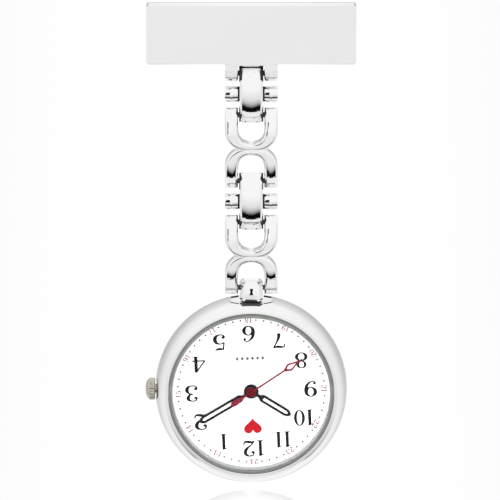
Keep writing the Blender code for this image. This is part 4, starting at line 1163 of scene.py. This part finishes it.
def baton_hand(name, body, length, back, hub, hole, spin):
    """A pointed hand with a long slot, and the enamel that fills it."""
    half, neck, start, shoulder, point = 0.60, 0.24, 0.8, 2.0, 0.85
    front = back + 0.12
    right = [(neck, start), (neck, shoulder - 0.45), (half, shoulder), (half, length - point)]
    right += [(0.42, length - 0.35), (0.06, length)]
    slot = [(0.21, shoulder + 0.27), (0.21, length - point - 0.08), (0.05, length - 0.60)]
    blade = prism([mirrored(right), mirrored(slot)], back, front)
    boss = prism([circle(hub)], back, front)
    fuse(blade, boss)
    carve(blade, prism([circle(hole)], back - 1, front + 1))
    finish(in_case(blade, spin=spin), f"{name}_blade", body, [HAND_BLACK], name,
           0.025, 40)
    grow = [(0.215, shoulder + 0.265), (0.215, length - point - 0.08), (0.05, length - 0.595)]
    fill = prism([mirrored(grow)], back + 0.015, front - 0.035)
    finish(in_case(fill, spin=spin), f"{name}_enamel", body, [LUME])


def second_hand():
    spin = dial_turn(SHOWN_SECOND / 60)
    blade = smooth([(0.13, 6.2), (0.40, 6.75), (0.62, 7.3), (0.38, 8.1), (0.15, 8.9)], 5)
    tail = smooth([(0.14, -0.6), (0.16, -1.4), (0.46, -2.9), (0.34, -3.55), (0.0, -3.9)], 5)
    outline = mirrored(tail[::-1] + [(0.14, 0.6)] + blade + [(0.05, 9.8)])
    kite = smooth([(0, 6.75), (0.33, 7.35), (0, 8.45)], 5)
    needle = prism([outline, mirrored(kite)], 2.66, 2.76)
    boss = 0.76
    cap = [(0, 2.84), (0.36, 2.84), (0.58, 2.80), (0.72, 2.72), (boss, 2.66), (boss, 2.62)]
    fuse(needle, lathe(cap + [(0, 2.62)], 64))
    paint(needle, 1, lambda c, n: c.xy.length < boss + 0.01)
    finish(in_case(needle, spin=spin), "second_hand_needle", "seconds_arbor", [HAND_RED, BOSS_RED],
           "second_hand", crease=25)


def hands():
    baton_hand("hour_hand", "hour_arbor", 7.3, 2.05, 1.15, 0.89, dial_turn(SHOWN_HOUR / 12))
    baton_hand("minute_hand", "minute_arbor", 9.5, 2.34, 1.0, 0.51, dial_turn(SHOWN_MINUTE / 60))
    second_hand()


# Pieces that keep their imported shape

KEPT = {
    RUBBER: ["case_back_gasket"],
    NICKEL: ["stem_tube", "train_bridge", "cannon_pinion", "stator", "quartz_can"],
    BACK_STEEL: ["setting_stem", "battery", "battery_clamp", "coil_core", "clutch_wheel",
                 "setting_lever", "yoke", "bridge_screw_1", "bridge_screw_2", "clamp_screw"],
    PLASTIC: ["movement_ring", "fifth_wheel"],
    BRASS: ["main_plate", "centre_wheel", "hour_wheel", "minute_wheel", "third_wheel",
            "fourth_wheel", "setting_wheel"],
    COPPER: ["coil"],
    BOARD: ["circuit_board"],
    CHIP: ["circuit_chip"],
    MAGNET: ["rotor"],
}


def dress_kept_nodes():
    for material, names in KEPT.items():
        for name in names:
            for place in NODES[name].material_slots:
                place.material = material


# Studio


def sky_ramp(nodes, height, off_centre):
    """What stands before the watch: white, with a black band low down that rises sideways."""
    hollow = nodes.math("MULTIPLY", nodes.math("MULTIPLY", off_centre, off_centre), 0.5)
    sunk = nodes.math("SUBTRACT", height, nodes.math("MINIMUM", hollow, 8.0))
    stops = [(-90, 0.92), (-63, 0.92), (-60, 0.001), (-46, 0.001), (-43, 0.16), (-34, 0.55),
             (-24, 0.80), (-13, 0.88), (-4, 0.95), (6, 1.0)]
    return nodes.ramp(nodes.spread(sunk, -90, 90), [((a + 90) / 180, grey) for a, grey in stops])


def flank_shade(nodes, height, off_centre):
    """How grey the tent is at its sides, level with the watch."""
    along = nodes.ramp(nodes.spread(off_centre, 0, 180),
                       [(0.14, 0.0), (0.50, 0.35), (0.84, 1.0), (0.97, 1.0), (1.0, 0.0)])
    level = nodes.spread(nodes.math("ABSOLUTE", height), 5, 62, 0.50, 0)
    return nodes.math("MULTIPLY", along, level)


def slit_shade(nodes, height, side):
    """A narrow upright black slit, left of the middle."""
    across = nodes.math("ABSOLUTE", nodes.math("ADD", side, 11.5))
    upward = nodes.math("ABSOLUTE", nodes.math("SUBTRACT", height, 11.0))
    return nodes.math("MULTIPLY", nodes.spread(across, 6.0, 7.0, 1, 0),
                      nodes.spread(upward, 16, 18, 1, 0))


def studio_world():
    """A white tent that polished metal mirrors. Its light on everything else is plain."""
    world = bpy.data.worlds.new("tent")
    bpy.context.scene.world = world
    world.use_nodes = True
    nodes = Nodes(world.node_tree)
    background = world.node_tree.nodes["Background"]
    towards = nodes.add("ShaderNodeTexCoord").outputs["Generated"]
    x, y, z = nodes.add("ShaderNodeSeparateXYZ", {0: towards}).outputs
    degrees = 180 / pi
    height = nodes.math("MULTIPLY", nodes.math("ARCSINE", z), degrees)
    ahead = nodes.math("MULTIPLY", y, -1.0)
    side = nodes.math("MULTIPLY", nodes.math("ARCTAN2", x, ahead), degrees)
    off_centre = nodes.math("ABSOLUTE", side)
    white = (1.0, 1.0, 1.0)
    light = nodes.mix(nodes.spread(off_centre, 40, 62, 1, 0), white,
                      sky_ramp(nodes, height, off_centre))
    light = nodes.mix(flank_shade(nodes, height, off_centre), light, (0.10, 0.10, 0.095))
    light = nodes.mix(slit_shade(nodes, height, side), light, (0.004, 0.004, 0.004))
    ray = nodes.add("ShaderNodeLightPath")
    mirror = nodes.math("MAXIMUM", ray.outputs["Is Glossy Ray"], ray.outputs["Is Singular Ray"])
    seen = nodes.mix(mirror, (DIFFUSE_LIGHT,) * 3, light)
    nodes.tree.links.new(seen, background.inputs["Color"])


def area_light(name, place, power, size):
    lamp = bpy.data.lights.new(name, "AREA")
    lamp.energy, lamp.size = power, size
    obj = add_object(name, lamp)
    obj.location = place
    aim = Vector((0, 0, -0.04)) - Vector(place)
    obj.rotation_euler = aim.to_track_quat("-Z", "Y").to_euler()
    obj.visible_glossy = False


def studio_floor():
    """A white floor just under the watch, with a soft gloss."""
    low, half = CAD_BOUNDS[0].z - 0.0009, 4.0
    corners = [(x, y, low) for x, y in rectangle(-half, half, -half, half)]
    mesh = mesh_of(corners, [(0, 1, 2, 3)])
    floor = add_object("studio_floor", mesh)
    material = bpy.data.materials.new("studio_floor")
    material.use_nodes = True
    tree = material.node_tree
    tree.nodes.clear()
    nodes = Nodes(tree)
    glow = nodes.add("ShaderNodeEmission", {"Color": (1, 1, 1, 1), "Strength": 1.10})
    shine = nodes.add("ShaderNodeBsdfGlossy", {"Color": (1, 1, 1, 1), "Roughness": 0.06})
    mixed = nodes.add("ShaderNodeMixShader", {0: 0.45, 1: glow.outputs[0], 2: shine.outputs[0]})
    nodes.add("ShaderNodeOutputMaterial", {"Surface": mixed.outputs[0]})
    mesh.materials.append(material)
    floor.visible_diffuse = floor.visible_glossy = floor.visible_shadow = False
    floor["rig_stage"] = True


def camera():
    lens = bpy.data.cameras.new("camera")
    lens.sensor_width, lens.lens = 36, 415
    lens.clip_start, lens.clip_end = 0.01, 20
    obj = add_object("camera", lens)
    target, distance = Vector((-0.00019, PIN_PLANE, -0.0345)), 0.9
    back = Vector((0, -cos(CAMERA_RISE), sin(CAMERA_RISE)))
    obj.location = target + back * distance
    obj.rotation_euler = (-back).to_track_quat("-Z", "Y").to_euler()
    bpy.context.scene.camera = obj


def studio():
    studio_world()
    studio_floor()
    area_light("key_light", (-0.35, -0.5, 0.55), 1.6, 0.5)
    area_light("fill_light", (0.5, -0.5, 0.15), 0.6, 0.6)
    camera()
    bpy.context.scene.view_settings.view_transform = "Standard"


brooch_bar()
pin_base()
pin_wire()
brooch_catch()
chain()
case()
dial()
hands()
dress_kept_nodes()
studio()

bpy.context.view_layer.update()
boxes = {"cad": CAD_BOUNDS, "visual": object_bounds()}
{key: [list(corner) for corner in box] for key, box in boxes.items()}
